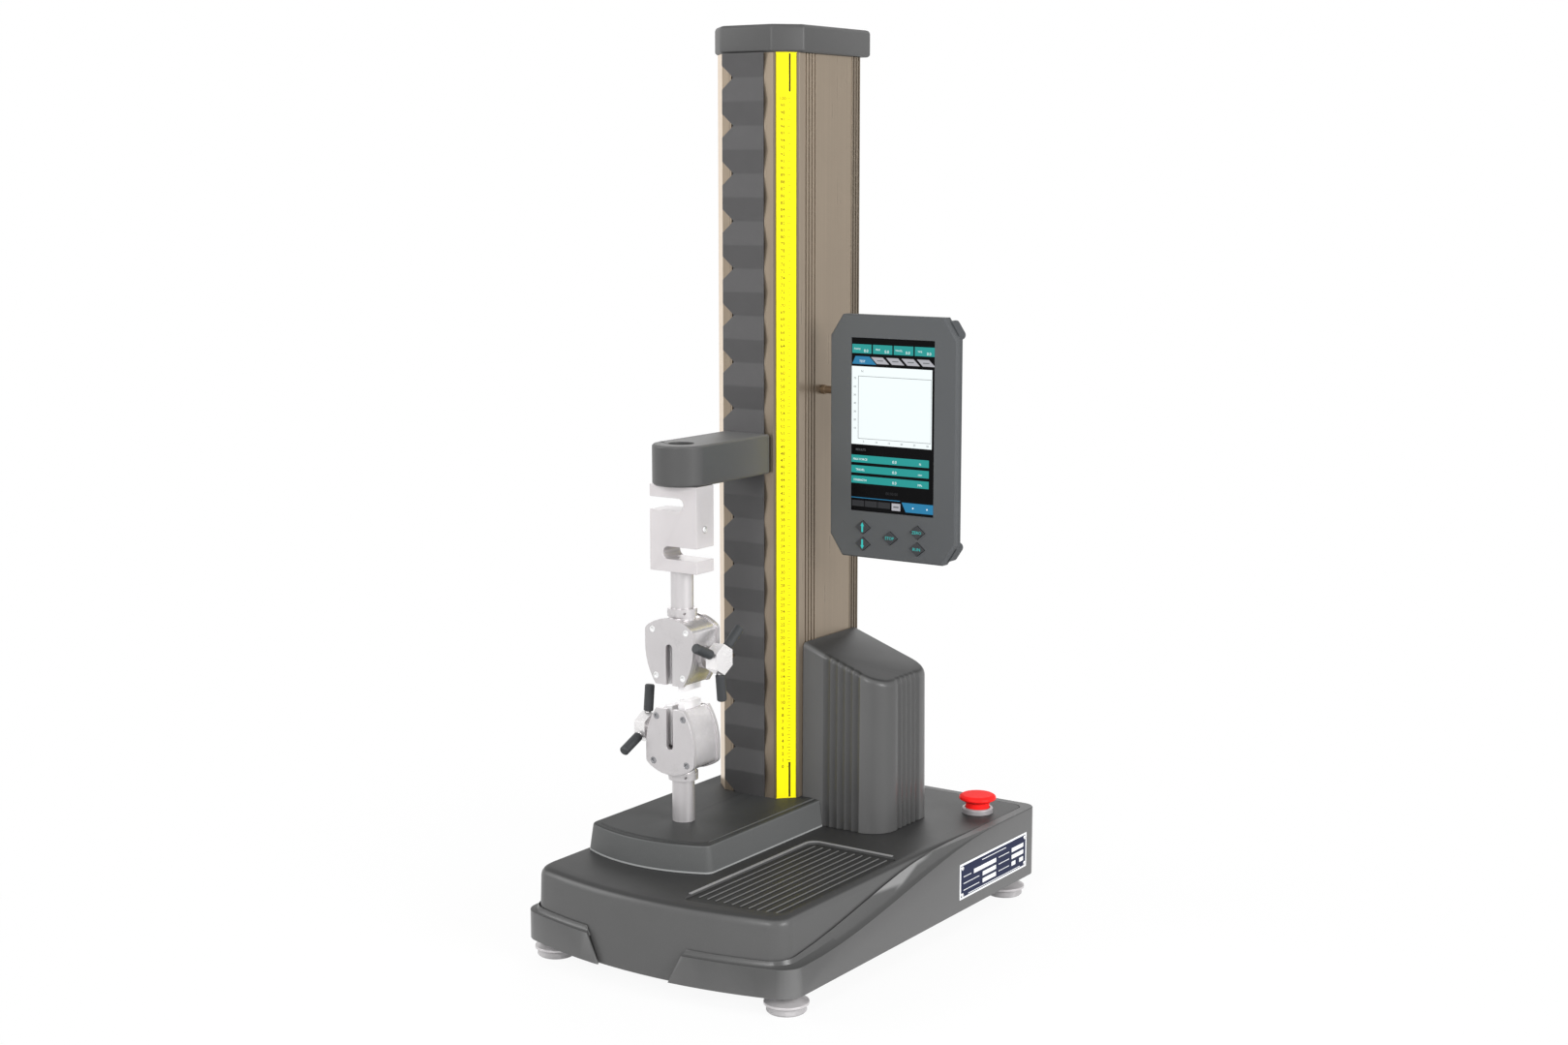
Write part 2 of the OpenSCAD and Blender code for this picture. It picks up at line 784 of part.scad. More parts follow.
inlet_mid = [base_right - inlet_side, base_h / 2];
inlet_edge = 1.5;
inlet_body_w = inlet_w - 2 * inlet_edge;
inlet_body_h = inlet_h - 2 * inlet_edge;
inlet_r = 2;
socket_w = 20;
socket_h = 14;
socket_d = 15;
socket_wall = 2.2;
blade_w = 2;
blade_h = 4;
blade_l = 10;
blade_gap = 7;
switch_mid = 12.5;
socket_mid = 11.5;
rocker_tilt = 7;
rocker_w = 11;
rocker_h = 15.5;
rocker_back = 4.5;
rocker_in = 4;
rocker_sag = 1.2;
pin_d = 2.4;
pin_l = 2;
switch_w = rocker_w + 2 * slip;
switch_h = rocker_h + 2 * soft;

module inlet_hole(y) {
    block(
        [inlet_mid[0] - inlet_body_w / 2 - seat, base_rear - inlet_d, inlet_mid[1] - inlet_body_h / 2 - seat],
        [inlet_mid[0] + inlet_body_w / 2 + seat, y + over, inlet_mid[1] + inlet_body_h / 2 + seat]
    );
}

module power_inlet() {
    x = inlet_mid[0];
    z = inlet_mid[1];
    frame = rounded(
        [[x - inlet_w / 2, z - inlet_h / 2], [x + inlet_w / 2, z - inlet_h / 2],
         [x + inlet_w / 2, z + inlet_h / 2], [x - inlet_w / 2, z + inlet_h / 2]],
        inlet_r, corner_n);
    color("#1d1e20") placed() {
        difference() {
            union() {
                slab_y(frame, base_rear, base_rear + inlet_rim);
                block(
                    [x - inlet_body_w / 2, base_rear - inlet_d, z - inlet_body_h / 2],
                    [x + inlet_body_w / 2, base_rear + over, z + inlet_body_h / 2]
                );
            }
            block(
                [x - switch_w / 2, base_rear - socket_d, z + switch_mid - switch_h / 2],
                [x + switch_w / 2, base_rear + inlet_rim + over, z + switch_mid + switch_h / 2]
            );
            block(
                [x - socket_w / 2 - socket_wall, base_rear - socket_d, z - socket_mid - socket_h / 2 - socket_wall],
                [x + socket_w / 2 + socket_wall, base_rear + inlet_rim + over, z - socket_mid + socket_h / 2 + socket_wall]
            );
            rocker_pins(switch_w, pin_d + 2 * run);
        }
        for (i = [-1, 0, 1]) {
            block(
                [x + i * blade_gap - blade_w / 2, base_rear - socket_d - over, z - socket_mid - blade_h / 2],
                [x + i * blade_gap + blade_w / 2, base_rear - socket_d + blade_l, z - socket_mid + blade_h / 2]
            );
        }
    }
}

// Rocker, on two pins inside its opening
rocker_y = base_rear - rocker_in;
rocker_z = inlet_mid[1] + switch_mid;

module rocker_pins(width, d) {
    bar_x(inlet_mid[0] - width / 2 - pin_l, inlet_mid[0] + width / 2 + pin_l, rocker_y, rocker_z, d);
}

module power_rocker() {
    half = rocker_h / 2;
    sag = rocker_sag;
    face = inlet_rim + rocker_in - sag;
    color("#101113") placed() {
        rocker_pins(rocker_w, pin_d);
        translate([0, rocker_y, rocker_z]) rotate([rocker_tilt, 0, 0])
            translate([inlet_mid[0] - rocker_w / 2, 0, 0]) rotate([90, 0, 90]) linear_extrude(rocker_w)
                polygon([
                    [face, -half], [face - sag, 0], [face, half], [0, half - sag],
                    [-rocker_back, sag], [-rocker_back, -sag], [0, sag - half]
                ]);
    }
}

// Electronics in the base

board_z = 12;
board_t = 1.6;
board_in = 65;
board_gap = 38;
standoff_d = 6;
standoff_in = 6;
vent_w = 3;
chip_h = 9;
supply_w = 58;
supply_h = 34;
supply_in = 30;
drive_clear = 5;
rear_clear = 17;
vents = 6;

supply_at = [base_left + supply_in, screw_y + big_pulley_d / 2 + belt_t + drive_clear];
supply_size = [supply_w, base_rear - rear_clear - supply_at[1], supply_h];
board_at = [supply_at[0] + supply_w + board_gap, supply_at[1]];
board_size = [base_right - board_in - board_at[0], supply_size[1] - 2 * standoff_in, board_t];

module control_board() {
    low = [board_at[0], board_at[1], board_z];
    chip = board_size[0] / 4;
    color("#1f5c3a") placed() {
        block(low, low + board_size);
        for (i = [0:2]) {
            block(
                low + [standoff_in + i * (chip + standoff_in), board_size[1] / 3, board_size[2] / 2],
                low + [standoff_in + i * (chip + standoff_in) + chip, board_size[1] * 2 / 3, board_size[2] + chip_h]
            );
        }
        for (x = [standoff_in, board_size[0] - standoff_in], y = [standoff_in, board_size[1] - standoff_in]) {
            translate([low[0] + x, low[1] + y, floor_t]) cylinder(h = board_z - floor_t + board_size[2] / 2, d = standoff_d);
        }
    }
}

module power_supply() {
    low = [supply_at[0], supply_at[1], floor_t];
    color("#a9adb1") placed() difference() {
        block(low, low + supply_size);
        for (i = [1:vents]) {
            at = i * supply_size[1] / (vents + 1);
            block(
                low + [standoff_d, at - vent_w / 2, supply_size[2] - vent_w],
                low + [supply_size[0] - standoff_d, at + vent_w / 2, supply_size[2] + over]
            );
        }
    }
}

// Deck

function deck_path(inset) = closed_bow(bowed_half(
    deck_w / 2 - inset, deck_front - inset, deck_front_r, deck_corner_r, deck_rear - inset, deck_corner_r, 0, 1));
function at_height(outline, z) = [for (p = outline) [p[0], p[1], z]];

module deck() {
    top_in = deck_draft + deck_edge_r;
    color("#4c4d50") placed() difference() {
        skin(concat(
            [at_height(deck_path(0), base_h), at_height(deck_path(deck_draft), deck_z - border_dip - deck_edge_r)],
            [
                for (i = [1:3])
                    let (a = 30 * i)
                    at_height(deck_path(deck_draft + deck_edge_r * (1 - cos(a))), deck_z - border_dip - deck_edge_r * (1 - sin(a)))
            ],
            [at_height(deck_path(top_in + border_w), deck_z - border_dip), at_height(deck_path(top_in + border_w + border_dip), deck_z)]
        ));
        block([col_half + seat, house_y - seat, base_h - over], [deck_w, deck_rear + over, deck_z + over]);
        translate([0, screw_y, base_h - over]) cylinder(h = deck_h + 2 * over, d = drive_hole_d);
        translate([0, grip_y, deck_z - thread_l - over]) cylinder(h = thread_l + 2 * over, d = thread_d + 2 * seat);
    }
}

// Column

groove_shares = [0.23, 0.27, 0.31, 0.35, 0.885, 0.92, 0.955];
panel_shares = [0.385, 0.86];
rear_edge = 3;

// Side of the column from front to rear, with its grooves and the plain panel
function col_side() = concat(
    [for (s = groove_shares) if (s < panel_shares[0]) each groove_points(s * col_d)],
    [
        [col_half, panel_shares[0] * col_d], [panel_x, panel_shares[0] * col_d],
        [panel_x, panel_shares[1] * col_d], [col_half, panel_shares[1] * col_d]
    ],
    [for (s = groove_shares) if (s > panel_shares[1]) each groove_points(s * col_d)]
);
function groove_points(y) = [
    [col_half, y - groove_w / 2], [col_half - groove_d, y - groove_w / 2],
    [col_half - groove_d, y + groove_w / 2], [col_half, y + groove_w / 2]
];

module column() {
    right = concat(
        [[col_flat, 0], [col_half, col_chamfer]], col_side(), [[col_half, col_d - rear_edge], [col_half - rear_edge, col_d]]
    );
    left = [for (i = [len(right) - 1:-1:0]) [-right[i][0], right[i][1]]];
    inside = col_half - col_wall;
    corner = col_flat - col_wall * (sqrt(2) - 1);
    color("#94897a") placed() translate([0, 0, deck_z]) difference() {
        linear_extrude(col_h) polygon(concat(right, left));
        translate([0, 0, -over]) linear_extrude(col_h + 2 * over) polygon([
            [-corner, col_wall], [corner, col_wall], [inside, col_wall + inside - corner],
            [inside, col_d - col_wall], [-inside, col_d - col_wall], [-inside, col_wall + inside - corner]
        ]);
        block([-slot_w / 2, -over, -over], [slot_w / 2, col_wall + over, col_h + over]);
        bar_x(col_half - col_wall - over, col_half + over, pivot_y, pivot_z - deck_z, post_d + 2 * seat);
    }
}

cap_corner_r = 4;

function cap_ring(inset, z) =
    let (half = col_half + cap_over - inset, cut = col_chamfer + cap_over - inset * (2 - sqrt(2)))
    at_height(
        rounded(cut_box(-half, half, -cap_front + inset, col_d + cap_rear - inset, cut, cut, false), cap_corner_r - inset / 2, 3), z);

module top_cap() {
    top = col_top + cap_h;
    lower = cap_edge_r / 2;
    color("#4b4c4f") placed() skin(concat(
        [cap_ring(lower, col_top), cap_ring(0, col_top + lower), cap_ring(0, top - cap_edge_r)],
        [for (i = [1:3]) let (a = 30 * i) cap_ring(cap_edge_r * (1 - cos(a)), top - cap_edge_r * (1 - sin(a)))]
    ));
}

module ruler_strip() {
    color("#ffee10") placed() translate([col_flat + col_chamfer / 2, col_chamfer / 2, deck_z]) rotate([0, 0, 45])
        block([-ruler_w / 2, -ruler_t, 0], [ruler_w / 2, 0, col_h]);
}

// Slot covers: a folded sheet whose ends narrow at the inner folds

module folded(n, z0, z1, outer_first) {
    pitch = (z1 - z0) / n / 2;
    function out(i) = (i % 2 == 0) == outer_first;
    front = [for (i = [0:2 * n]) [out(i) ? -fold_front : fold_back - fold_t, z0 + i * pitch]];
    back = [for (i = [2 * n:-1:0]) [out(i) ? fold_t - fold_front : fold_back, z0 + i * pitch]];
    right = [for (i = [0:2 * n]) [(out(i) ? fold_wide : fold_narrow) / 2, z0 + i * pitch]];
    left = [for (i = [2 * n:-1:0]) [-(out(i) ? fold_wide : fold_narrow) / 2, z0 + i * pitch]];
    intersection() {
        translate([-fold_wide, 0, 0]) rotate([90, 0, 90]) linear_extrude(2 * fold_wide) polygon(concat(front, back));
        slab_y(concat(right, left), -2 * fold_front, 2 * fold_back);
    }
}

module bellows_upper() {
    color("#55565a") placed() folded(upper_fold_n, arm_top, col_top, true);
}

module bellows_lower() {
    color("#55565a") placed() folded(lower_fold_n, deck_z, arm_bottom, false);
}

// Drive: screw, rods and their blocks inside the column, belt and pulleys inside the base

block_half_w = 38;
block_half_d = 32;
pulley_z = 28;
flange_t = 1.5;
flange_over = 3;
thread_l = 12;
bracket_t = 6;
bracket_over = 3;
motor_cut = 6;

module at_rods() {
    for (x = [-rod_gap / 2, rod_gap / 2]) translate([x, screw_y, 0]) children();
}

module guide_rods() {
    color("silver") placed() at_rods() translate([0, 0, deck_z + block_h / 3])
        cylinder(h = col_h - block_h * 2 / 3, d = rod_d);
}

module bearing_block(z, bearing_low) {
    difference() {
        block([-block_half_w, screw_y - block_half_d, z], [block_half_w, screw_y + block_half_d, z + block_h]);
        translate([0, screw_y, z - over]) cylinder(h = block_h + 2 * over, d = drive_hole_d);
        translate([0, screw_y, bearing_low]) cylinder(h = bearing_h + seat, d = bearing_d + 2 * seat);
        at_rods() translate([0, 0, z == deck_z ? z + block_h / 3 : z - over])
            cylinder(h = block_h * 2 / 3 + over, d = rod_d + 2 * run);
    }
}

lower_bearing = deck_z + block_h - bearing_h;
upper_bearing = col_top - block_h;

module bearing_blocks() {
    color("#7d8085") placed() {
        bearing_block(deck_z, lower_bearing);
        bearing_block(col_top - block_h, upper_bearing - seat);
    }
}

module screw_bearings() {
    color("silver") placed() for (z = [lower_bearing, upper_bearing]) {
        translate([0, screw_y, z]) difference() {
            cylinder(h = bearing_h, d = bearing_d);
            translate([0, 0, -over]) cylinder(h = bearing_h + 2 * over, d = screw_d + 2 * run);
        }
    }
}

module lead_screw() {
    color("#b8babd") placed() translate([0, screw_y, pulley_z - flange_t])
        cylinder(h = col_top - slip - pulley_z + flange_t, d = screw_d);
}

module pulley(d, bore) {
    difference() {
        union() {
            cylinder(h = pulley_h, d = d);
            cylinder(h = flange_t, d = d + 2 * flange_over);
            translate([0, 0, pulley_h - flange_t]) cylinder(h = flange_t, d = d + 2 * flange_over);
        }
        if (bore > 0) translate([0, 0, -over]) cylinder(h = pulley_h + 2 * over, d = bore);
    }
}

module screw_pulley() {
    color("#8d9094") placed() translate([0, screw_y, pulley_z]) pulley(big_pulley_d, screw_d + 2 * run);
}

module motor_pulley() {
    color("#8d9094") placed() translate([motor_x, motor_y, pulley_z]) {
        pulley(small_pulley_d, 0);
        cylinder(h = base_h + bracket_t - pulley_z + 2 * shaft_d, d = shaft_d);
    }
}

// Outline of a belt round two pulleys, from its two radii and their distance along the line of centres
module belt_loop(r1, r2, gap, h) {
    a = acos((r1 - r2) / gap);
    cylinder(h = h, r = r1);
    translate([gap, 0, 0]) cylinder(h = h, r = r2);
    linear_extrude(h) polygon([
        r1 * [cos(a), sin(a)], [0, 0], r1 * [cos(a), -sin(a)],
        [gap, 0] + r2 * [cos(a), -sin(a)], [gap, 0], [gap, 0] + r2 * [cos(a), sin(a)]
    ]);
}

module timing_belt() {
    gap = norm([motor_x, motor_y - screw_y]);
    r1 = big_pulley_d / 2 + slip;
    r2 = small_pulley_d / 2 + slip;
    color("#1b1b1c") placed()
        translate([0, screw_y, pulley_z + (pulley_h - belt_w) / 2]) rotate([0, 0, atan2(motor_y - screw_y, motor_x)])
            difference() {
                belt_loop(r1 + belt_t, r2 + belt_t, gap, belt_w);
                translate([0, 0, -over]) belt_loop(r1, r2, gap, belt_w + 2 * over);
            }
}

module motor_bracket() {
    half = motor_w / 2 + bracket_over;
    color("#8a8d90") placed() difference() {
        block([motor_x - half, motor_y - half, base_h], [motor_x + half, motor_y + half, base_h + bracket_t]);
        translate([motor_x, motor_y, base_h - over]) cylinder(h = bracket_t + 2 * over, d = motor_hole_d);
    }
}

module motor() {
    half = motor_w / 2;
    low = base_h + bracket_t;
    cap = motor_h / 4;
    color("#2f3134") placed() translate([motor_x, motor_y, low]) difference() {
        union() {
            block([-half, -half, 0], [half, half, bracket_t]);
            translate([0, 0, bracket_t / 2]) linear_extrude(motor_h - cap) polygon(
                cut_box(soft - half, half - soft, soft - half, half - soft, motor_cut, motor_cut, true));
            block([2 * soft - half, 2 * soft - half, motor_h - cap], [half - 2 * soft, half - 2 * soft, motor_h]);
        }
        translate([0, 0, -over]) cylinder(h = 2 * shaft_d + slip + over, d = shaft_d + 2 * run);
    }
}

// Motor housing: a fluted tower with a sloping top, flat against the column

// Concave flutes between narrow ridges
function flute(t) = flute_d * abs(sin(180 * t));
flute_steps = 4;

function house_plan(inset, left, depth_share) =
    let (
        x1 = house_right - inset,
        y0 = house_y + inset,
        y1 = house_y + house_d - inset,
        fx = house_right - house_front_r - flutes_front * flute_pitch,
        fy = house_y + house_front_r + flute_pitch / 2
    )
    concat(
        [[left, y0]],
        [
            for (i = [0:flutes_front * flute_steps])
                let (t = i / flute_steps)
                [fx + t * flute_pitch, y0 + depth_share * flute(t)]
        ],
        bow([house_right - house_front_r, house_y + house_front_r], house_front_r - inset, 90 / corner_n, 90, corner_n - 1),
        [
            for (i = [0:flutes_side * flute_steps])
                let (t = i / flute_steps)
                [x1 - depth_share * flute(t), fy + t * flute_pitch]
        ],
        bow([house_right - house_rear_r, house_y + house_d - house_rear_r], house_rear_r - inset, 90 + 90 / corner_n, 180, corner_n - 1),
        [[left, y1]]
    );

// Height of the sloping top, a ring of the housing a given depth below it, and the hollow's plan
function house_z(x) = house_top - tan(house_slope) * (x - house_left);
function sloped(plan, depth) = [for (p = plan) [p[0], p[1], house_z(p[0]) - depth]];
function house_ring(inset, depth) = sloped(house_plan(inset, house_left, 1), depth);
function house_core(inset) = house_plan(inset, house_left + house_t, 0);

// One skin: down the hollow's walls, out along the foot and up to the top
module motor_housing() {
    color("#434447") placed() skin(concat(
        [
            sloped(house_core(house_wall + house_draft), house_edge_r),
            at_height(house_core(house_wall), base_h),
            at_height(house_plan(0, house_left, 1), base_h),
            house_ring(house_draft, house_edge_r)
        ],
        [
            for (i = [1:edge_n])
                let (a = 90 * i / edge_n)
                house_ring(house_draft + house_edge_r * (1 - cos(a)), house_edge_r * (1 - sin(a)))
        ]
    ));
}

// Crosshead: carriage on the rods, arm through the slot, load cell below the nose

carriage_half_w = 38;
carriage_y0 = 32;
carriage_y1 = 92;
neck_w = 34;
neck_gap = 3.2;
flange_d = 36;
flange_h = 6;
head_bolt_d = 18;
head_bolt_h = 12;

carriage_z = arm_bottom + (arm_h - carriage_h) / 2;

module carriage() {
    color("#8c8f93") placed() difference() {
        block([-carriage_half_w, carriage_y0, carriage_z], [carriage_half_w, carriage_y1, carriage_z + carriage_h]);
        translate([0, screw_y, carriage_z - over]) cylinder(h = carriage_h + 2 * over, d = nut_d + 2 * run);
        at_rods() translate([0, 0, carriage_z - over]) cylinder(h = carriage_h + 2 * over, d = bush_d + 2 * run);
    }
}

module carriage_bushes() {
    color("#b08d4a") placed() {
        translate([0, screw_y, carriage_z]) difference() {
            union() {
                cylinder(h = carriage_h + over, d = nut_d);
                translate([0, 0, carriage_h]) cylinder(h = flange_h, d = flange_d);
            }
            translate([0, 0, -over]) cylinder(h = carriage_h + flange_h + 2 * over, d = screw_d + 2 * run);
        }
        at_rods() translate([0, 0, carriage_z]) difference() {
            cylinder(h = carriage_h, d = bush_d);
            translate([0, 0, -over]) cylinder(h = carriage_h + 2 * over, d = rod_d + 2 * run);
        }
    }
}

// Half section of the arm with its chamfered edges
function arm_section() = [
    [0, 0], [arm_w / 2 - arm_edge, 0], [arm_w / 2, arm_edge], [arm_w / 2, arm_h - arm_edge],
    [arm_w / 2 - arm_edge, arm_h], [0, arm_h]
];

module arm() {
    half = arm_section();
    whole = concat(half, [for (i = [len(half) - 2:-1:1]) [-half[i][0], half[i][1]]]);
    color("#3f4043") placed() translate([0, 0, arm_bottom]) difference() {
        union() {
            translate([0, grip_y, 0]) rotate_extrude() polygon(half);
            slab_y(whole, grip_y, -neck_gap);
            block([-neck_w / 2, -2 * neck_gap, 0], [neck_w / 2, carriage_y0, arm_h]);
        }
        translate([0, grip_y, arm_h - well_h]) cylinder(h = well_h + over, d = well_d);
        translate([0, grip_y, -over]) cylinder(h = arm_h + over, d = thread_d + 2 * seat);
    }
}

bolt_in = 9;

module arm_bolt() {
    color("#77797c") placed() translate([0, grip_y, arm_bottom]) difference() {
        union() {
            translate([0, 0, arm_h - well_h]) cylinder(h = head_bolt_h, d = head_bolt_d);
            translate([0, 0, -bolt_in]) cylinder(h = arm_h - well_h + bolt_in + over, d = thread_d);
        }
        translate([0, 0, arm_h - well_h + head_bolt_h / 2]) cylinder(h = head_bolt_h, d = head_bolt_d / 2, $fn = 6);
    }
}

cable_hole_d = 6;
cable_hole_h = 8;

module load_cell() {
    w = cell_w / 2;
    t = cell_t / 2;
    r = cell_slot / 2;
    upper = cell_h - cell_end - r;
    lower = cell_end + r;
    color("#d9d9da") placed() translate([0, grip_y, cell_bottom]) difference() {
        block([-w, -t, 0], [w, t, cell_h]);
        block([-w - over, -t - over, upper - r], [cell_past, t + over, upper + r]);
        bar_y(cell_past, -t - over, t + over, upper, cell_slot);
        block([-cell_past, -t - over, lower - r], [w + over, t + over, lower + r]);
        bar_y(-cell_past, -t - over, t + over, lower, cell_slot);
        translate([0, 0, -over]) cylinder(h = bolt_in + 2 * over, d = thread_d + 2 * run);
        translate([0, 0, cell_h - bolt_in - over]) cylinder(h = bolt_in + 2 * over, d = thread_d + 2 * run);
        bar_x(w - cable_hole_h, w + over, 0, cell_h / 2, cable_hole_d);
    }
}

// Grips, drawn about the handle's axis with the rod above, the mouth below and the handle towards +x

function grip_half(inset) =
    let (
        half = grip_w / 2 - inset,
        r = crown_r - inset,
        corner = grip_corner_r,
        reach_x = half - corner,
        rise = sqrt(pow(r - corner, 2) - pow(reach_x, 2)),
        crown = [0, crown_h - crown_r],
        turn = atan2(rise, reach_x),
        foot = acos((cheek_r - grip_w / 2 + mouth_half() - inset) / (cheek_r - inset)),
        sweep = asin((cheek_z + mouth_h - inset / 2) / (cheek_r - inset))
    )
    concat(
        [for (i = [0:arc_n]) let (a = 90 - (90 - turn) * i / arc_n) crown + r * [cos(a), sin(a)]],
        [for (i = [1:3]) let (a = turn * (1 - i / 3)) crown + [reach_x, rise] + corner * [cos(a), sin(a)]],
        [for (i = [0:arc_n]) let (a = -sweep * i / arc_n) [grip_w / 2 - cheek_r, cheek_z] + (cheek_r - inset) * [cos(a), sin(a)]]
    );
function mouth_half() = grip_w / 2 - cheek_r + sqrt(pow(cheek_r, 2) - pow(cheek_z + mouth_h, 2));
function grip_plan(inset) =
    let (p = grip_half(inset))
    concat(p, [for (i = [len(p) - 1:-1:1]) [-p[i][0], p[i][1]]]);

grip_corner_r = 5;
plate_slot_z = 11.5;
body_inset = 1.2;
cavity_top = 12.5;
boss_d = 20;
closed_gap = 1;
boss_x = hub_x - jaw_gap + closed_gap - slip;
screw_head_d = 6;
screw_head_h = 2;
screw_shank_d = 3.4;
screw_shank_l = 11;
grip_screw_points = [[18.2, 23.4], [14.6, -17.5]];

// Places a grip's own shape on the upper or the lower axis
module gripped(upper) {
    if (upper) {
        placed() translate([0, grip_y, upper_axis]) children();
    } else {
        placed() translate([0, grip_y, lower_axis]) rotate([0, 180, 0]) children();
    }
}

module grip_body_shape() {
    core = grip_d / 2 - side_t;
    cavity = jaw_gap / 2 + jaw_t + slip;
    difference() {
        union() {
            slab_y(grip_plan(body_inset), -core, core);
            bar_x(grip_w / 2 - side_t, boss_x, 0, 0, boss_d);
            translate([0, 0, crown_h - collar_h]) cylinder(h = collar_h, d = collar_d - 2 * body_inset);
        }
        block([-cavity, -core - over, -mouth_h - over], [cavity, core + over, cavity_top]);
        bar_x(0, boss_x + over, 0, 0, handle_d + 2 * run);
        translate([0, 0, crown_h - thread_l - over]) cylinder(h = thread_l + 2 * over, d = thread_d + 2 * run);
        grip_screw_holes();
    }
}

module at_grip_screws() {
    for (p = grip_screw_points, side = [-1, 1]) translate([side * p[0], 0, p[1]]) children();
}

module grip_screw_holes() {
    depth = grip_d / 2 - screw_shank_l;
    at_grip_screws() {
        bar_y(0, -grip_d, -depth, 0, screw_shank_d + 2 * run);
        bar_y(0, depth, grip_d, 0, screw_shank_d + 2 * run);
    }
}

module grip_screws_shape() {
    half = grip_d / 2;
    at_grip_screws() for (turn = [0, 180]) rotate([0, 0, turn]) difference() {
        union() {
            bar_y(0, -half, screw_head_h - half, 0, screw_head_d);
            bar_y(0, over - half, screw_shank_l - half, 0, screw_shank_d);
        }
        bar_y(0, -half - over, screw_head_h / 2 - half, 0, screw_shank_d);
    }
}

module grip_plates_shape() {
    half = grip_d / 2;
    r = jaw_gap / 2;
    for (turn = [0, 180]) rotate([0, 0, turn]) difference() {
        slab_y(grip_plan(0), -half, side_t - half);
        block([-r, -half - over, -mouth_h - over], [r, side_t - half + over, plate_slot_z - r]);
        bar_y(0, -half - over, side_t - half + over, plate_slot_z - r, jaw_gap);
        at_grip_screws() {
            bar_y(0, -half - over, side_t - half + over, 0, screw_shank_d + 2 * run);
            bar_y(0, -half - over, screw_head_h - half, 0, screw_head_d + 2 * run);
        }
    }
}

tooth_d = 0.4;
tooth_n = 9;

// Jaw on one side of the gap, with a toothed face
module jaw_shape(side, out) {
    low = -mouth_h - out;
    face = jaw_gap / 2;
    step = (jaw_top - low) / tooth_n;
    teeth = [for (i = [0:tooth_n - 1]) each [[face, low + i * step], [face + tooth_d, low + (i + 0.5) * step]]];
    outline = concat(teeth, [[face, jaw_top], [face + jaw_t, jaw_top], [face + jaw_t, low]]);
    mirror([side < 0 ? 1 : 0, 0, 0]) slab_y(outline, -jaw_w / 2, jaw_w / 2);
}

module handle_shape() {
    tip = jaw_gap / 2 + jaw_t + slip;
    mid = hub_x + hub_t / 2;
    bar_x(tip, hub_x + over, 0, 0, handle_d);
    translate([hub_x, 0, 0]) rotate([0, 90, 0]) cylinder(h = hub_t, d = hub_flats / cos(30), $fn = 6);
    for (i = [0:2]) rotate([spoke_turn + 120 * i, 0, 0]) bar_y(mid, hub_flats / 4, spoke_r - soft, 0, spoke_d);
}

module sleeves_shape() {
    mid = hub_x + hub_t / 2;
    end = soft;
    r = sleeve_d / 2;
    for (i = [0:2]) rotate([spoke_turn + 120 * i, 0, 0]) translate([mid, 0, 0]) rotate([-90, 0, 0]) rotate_extrude()
        polygon([
            [spoke_d / 2 + run, sleeve_start], [r - end, sleeve_start], [r, sleeve_start + end], [r, spoke_r - end],
            [r - end, spoke_r], [0, spoke_r], [0, spoke_r - soft + run], [spoke_d / 2 + run, spoke_r - soft + run]
        ]);
}

module upper_grip_body() { color("#cfd0d2") gripped(true) grip_body_shape(); }
module upper_grip_plates() { color("#dcdcdd") gripped(true) grip_plates_shape(); }
module upper_grip_screws() { color("#e6e6e6") gripped(true) grip_screws_shape(); }
module upper_fixed_jaw() { color("#b9bbbd") gripped(true) jaw_shape(-1, jaw_short); }
module upper_moving_jaw() { color("#b9bbbd") gripped(true) jaw_shape(1, jaw_out); }
module upper_handle() { color("#e2e2e3") gripped(true) handle_shape(); }
module upper_sleeves() { color("#303234") gripped(true) sleeves_shape(); }
module lower_grip_body() { color("#cfd0d2") gripped(false) grip_body_shape(); }
module lower_grip_plates() { color("#dcdcdd") gripped(false) grip_plates_shape(); }
module lower_grip_screws() { color("#8b8d90") gripped(false) grip_screws_shape(); }
module lower_fixed_jaw() { color("#b9bbbd") gripped(false) jaw_shape(-1, jaw_out); }
module lower_moving_jaw() { color("#b9bbbd") gripped(false) jaw_shape(1, jaw_short); }
module lower_handle() { color("#e2e2e3") gripped(false) handle_shape(); }
module lower_sleeves() { color("#303234") gripped(false) sleeves_shape(); }

// Load rods: a threaded end, the rod, its collar with pin holes and the lower threaded end
pin_hole_d = 2.4;

module load_rod(length, upper_end) {
    difference() {
        union() {
            cylinder(h = length, d = spigot_d);
            cylinder(h = collar_h, d = collar_d);
            translate([0, 0, -thread_l]) cylinder(h = thread_l + over, d = thread_d);
            translate([0, 0, length - over]) cylinder(h = upper_end + over, d = thread_d);
        }
        for (a = [45, 135, 225, 315]) rotate([0, 0, a])
            bar_x(spigot_d / 2, collar_d, 0, collar_h / 2, pin_hole_d);
    }
}

module upper_rod() {
    low = upper_axis + crown_h;
    color("#d6d7d9") placed() translate([0, grip_y, low]) load_rod(cell_bottom - low, bolt_in);
}

module lower_rod() {
    high = lower_axis - crown_h;
    color("#d6d7d9") placed() translate([0, grip_y, high]) mirror([0, 0, 1]) load_rod(high - deck_z, thread_l);
}

// Display

function display_plan(inset) = cut_box(
    display_x + inset, display_x + display_w - inset, display_low + inset, display_low + display_h - inset,
    corner_x, corner_z, true);
bezel_edge = 1.2;
back_taper = 9;
wall_share = 0.3;
guard_share = 0.1;
guard_round_share = 0.9;
screen_t = 1.2;
screen_dip = 0.3;
screen_bottom = display_low + display_h - screen_top - screen_h;
key_step = 15;
key_low = 12.5;
key_pocket = 3.4;
lug_w = 34;
lug_h = 30;
lug_t = 20;
lug_x = 24;
collar_t = 4;
collar_over = 1.5;
knob_d = 22;
knob_l = 10;

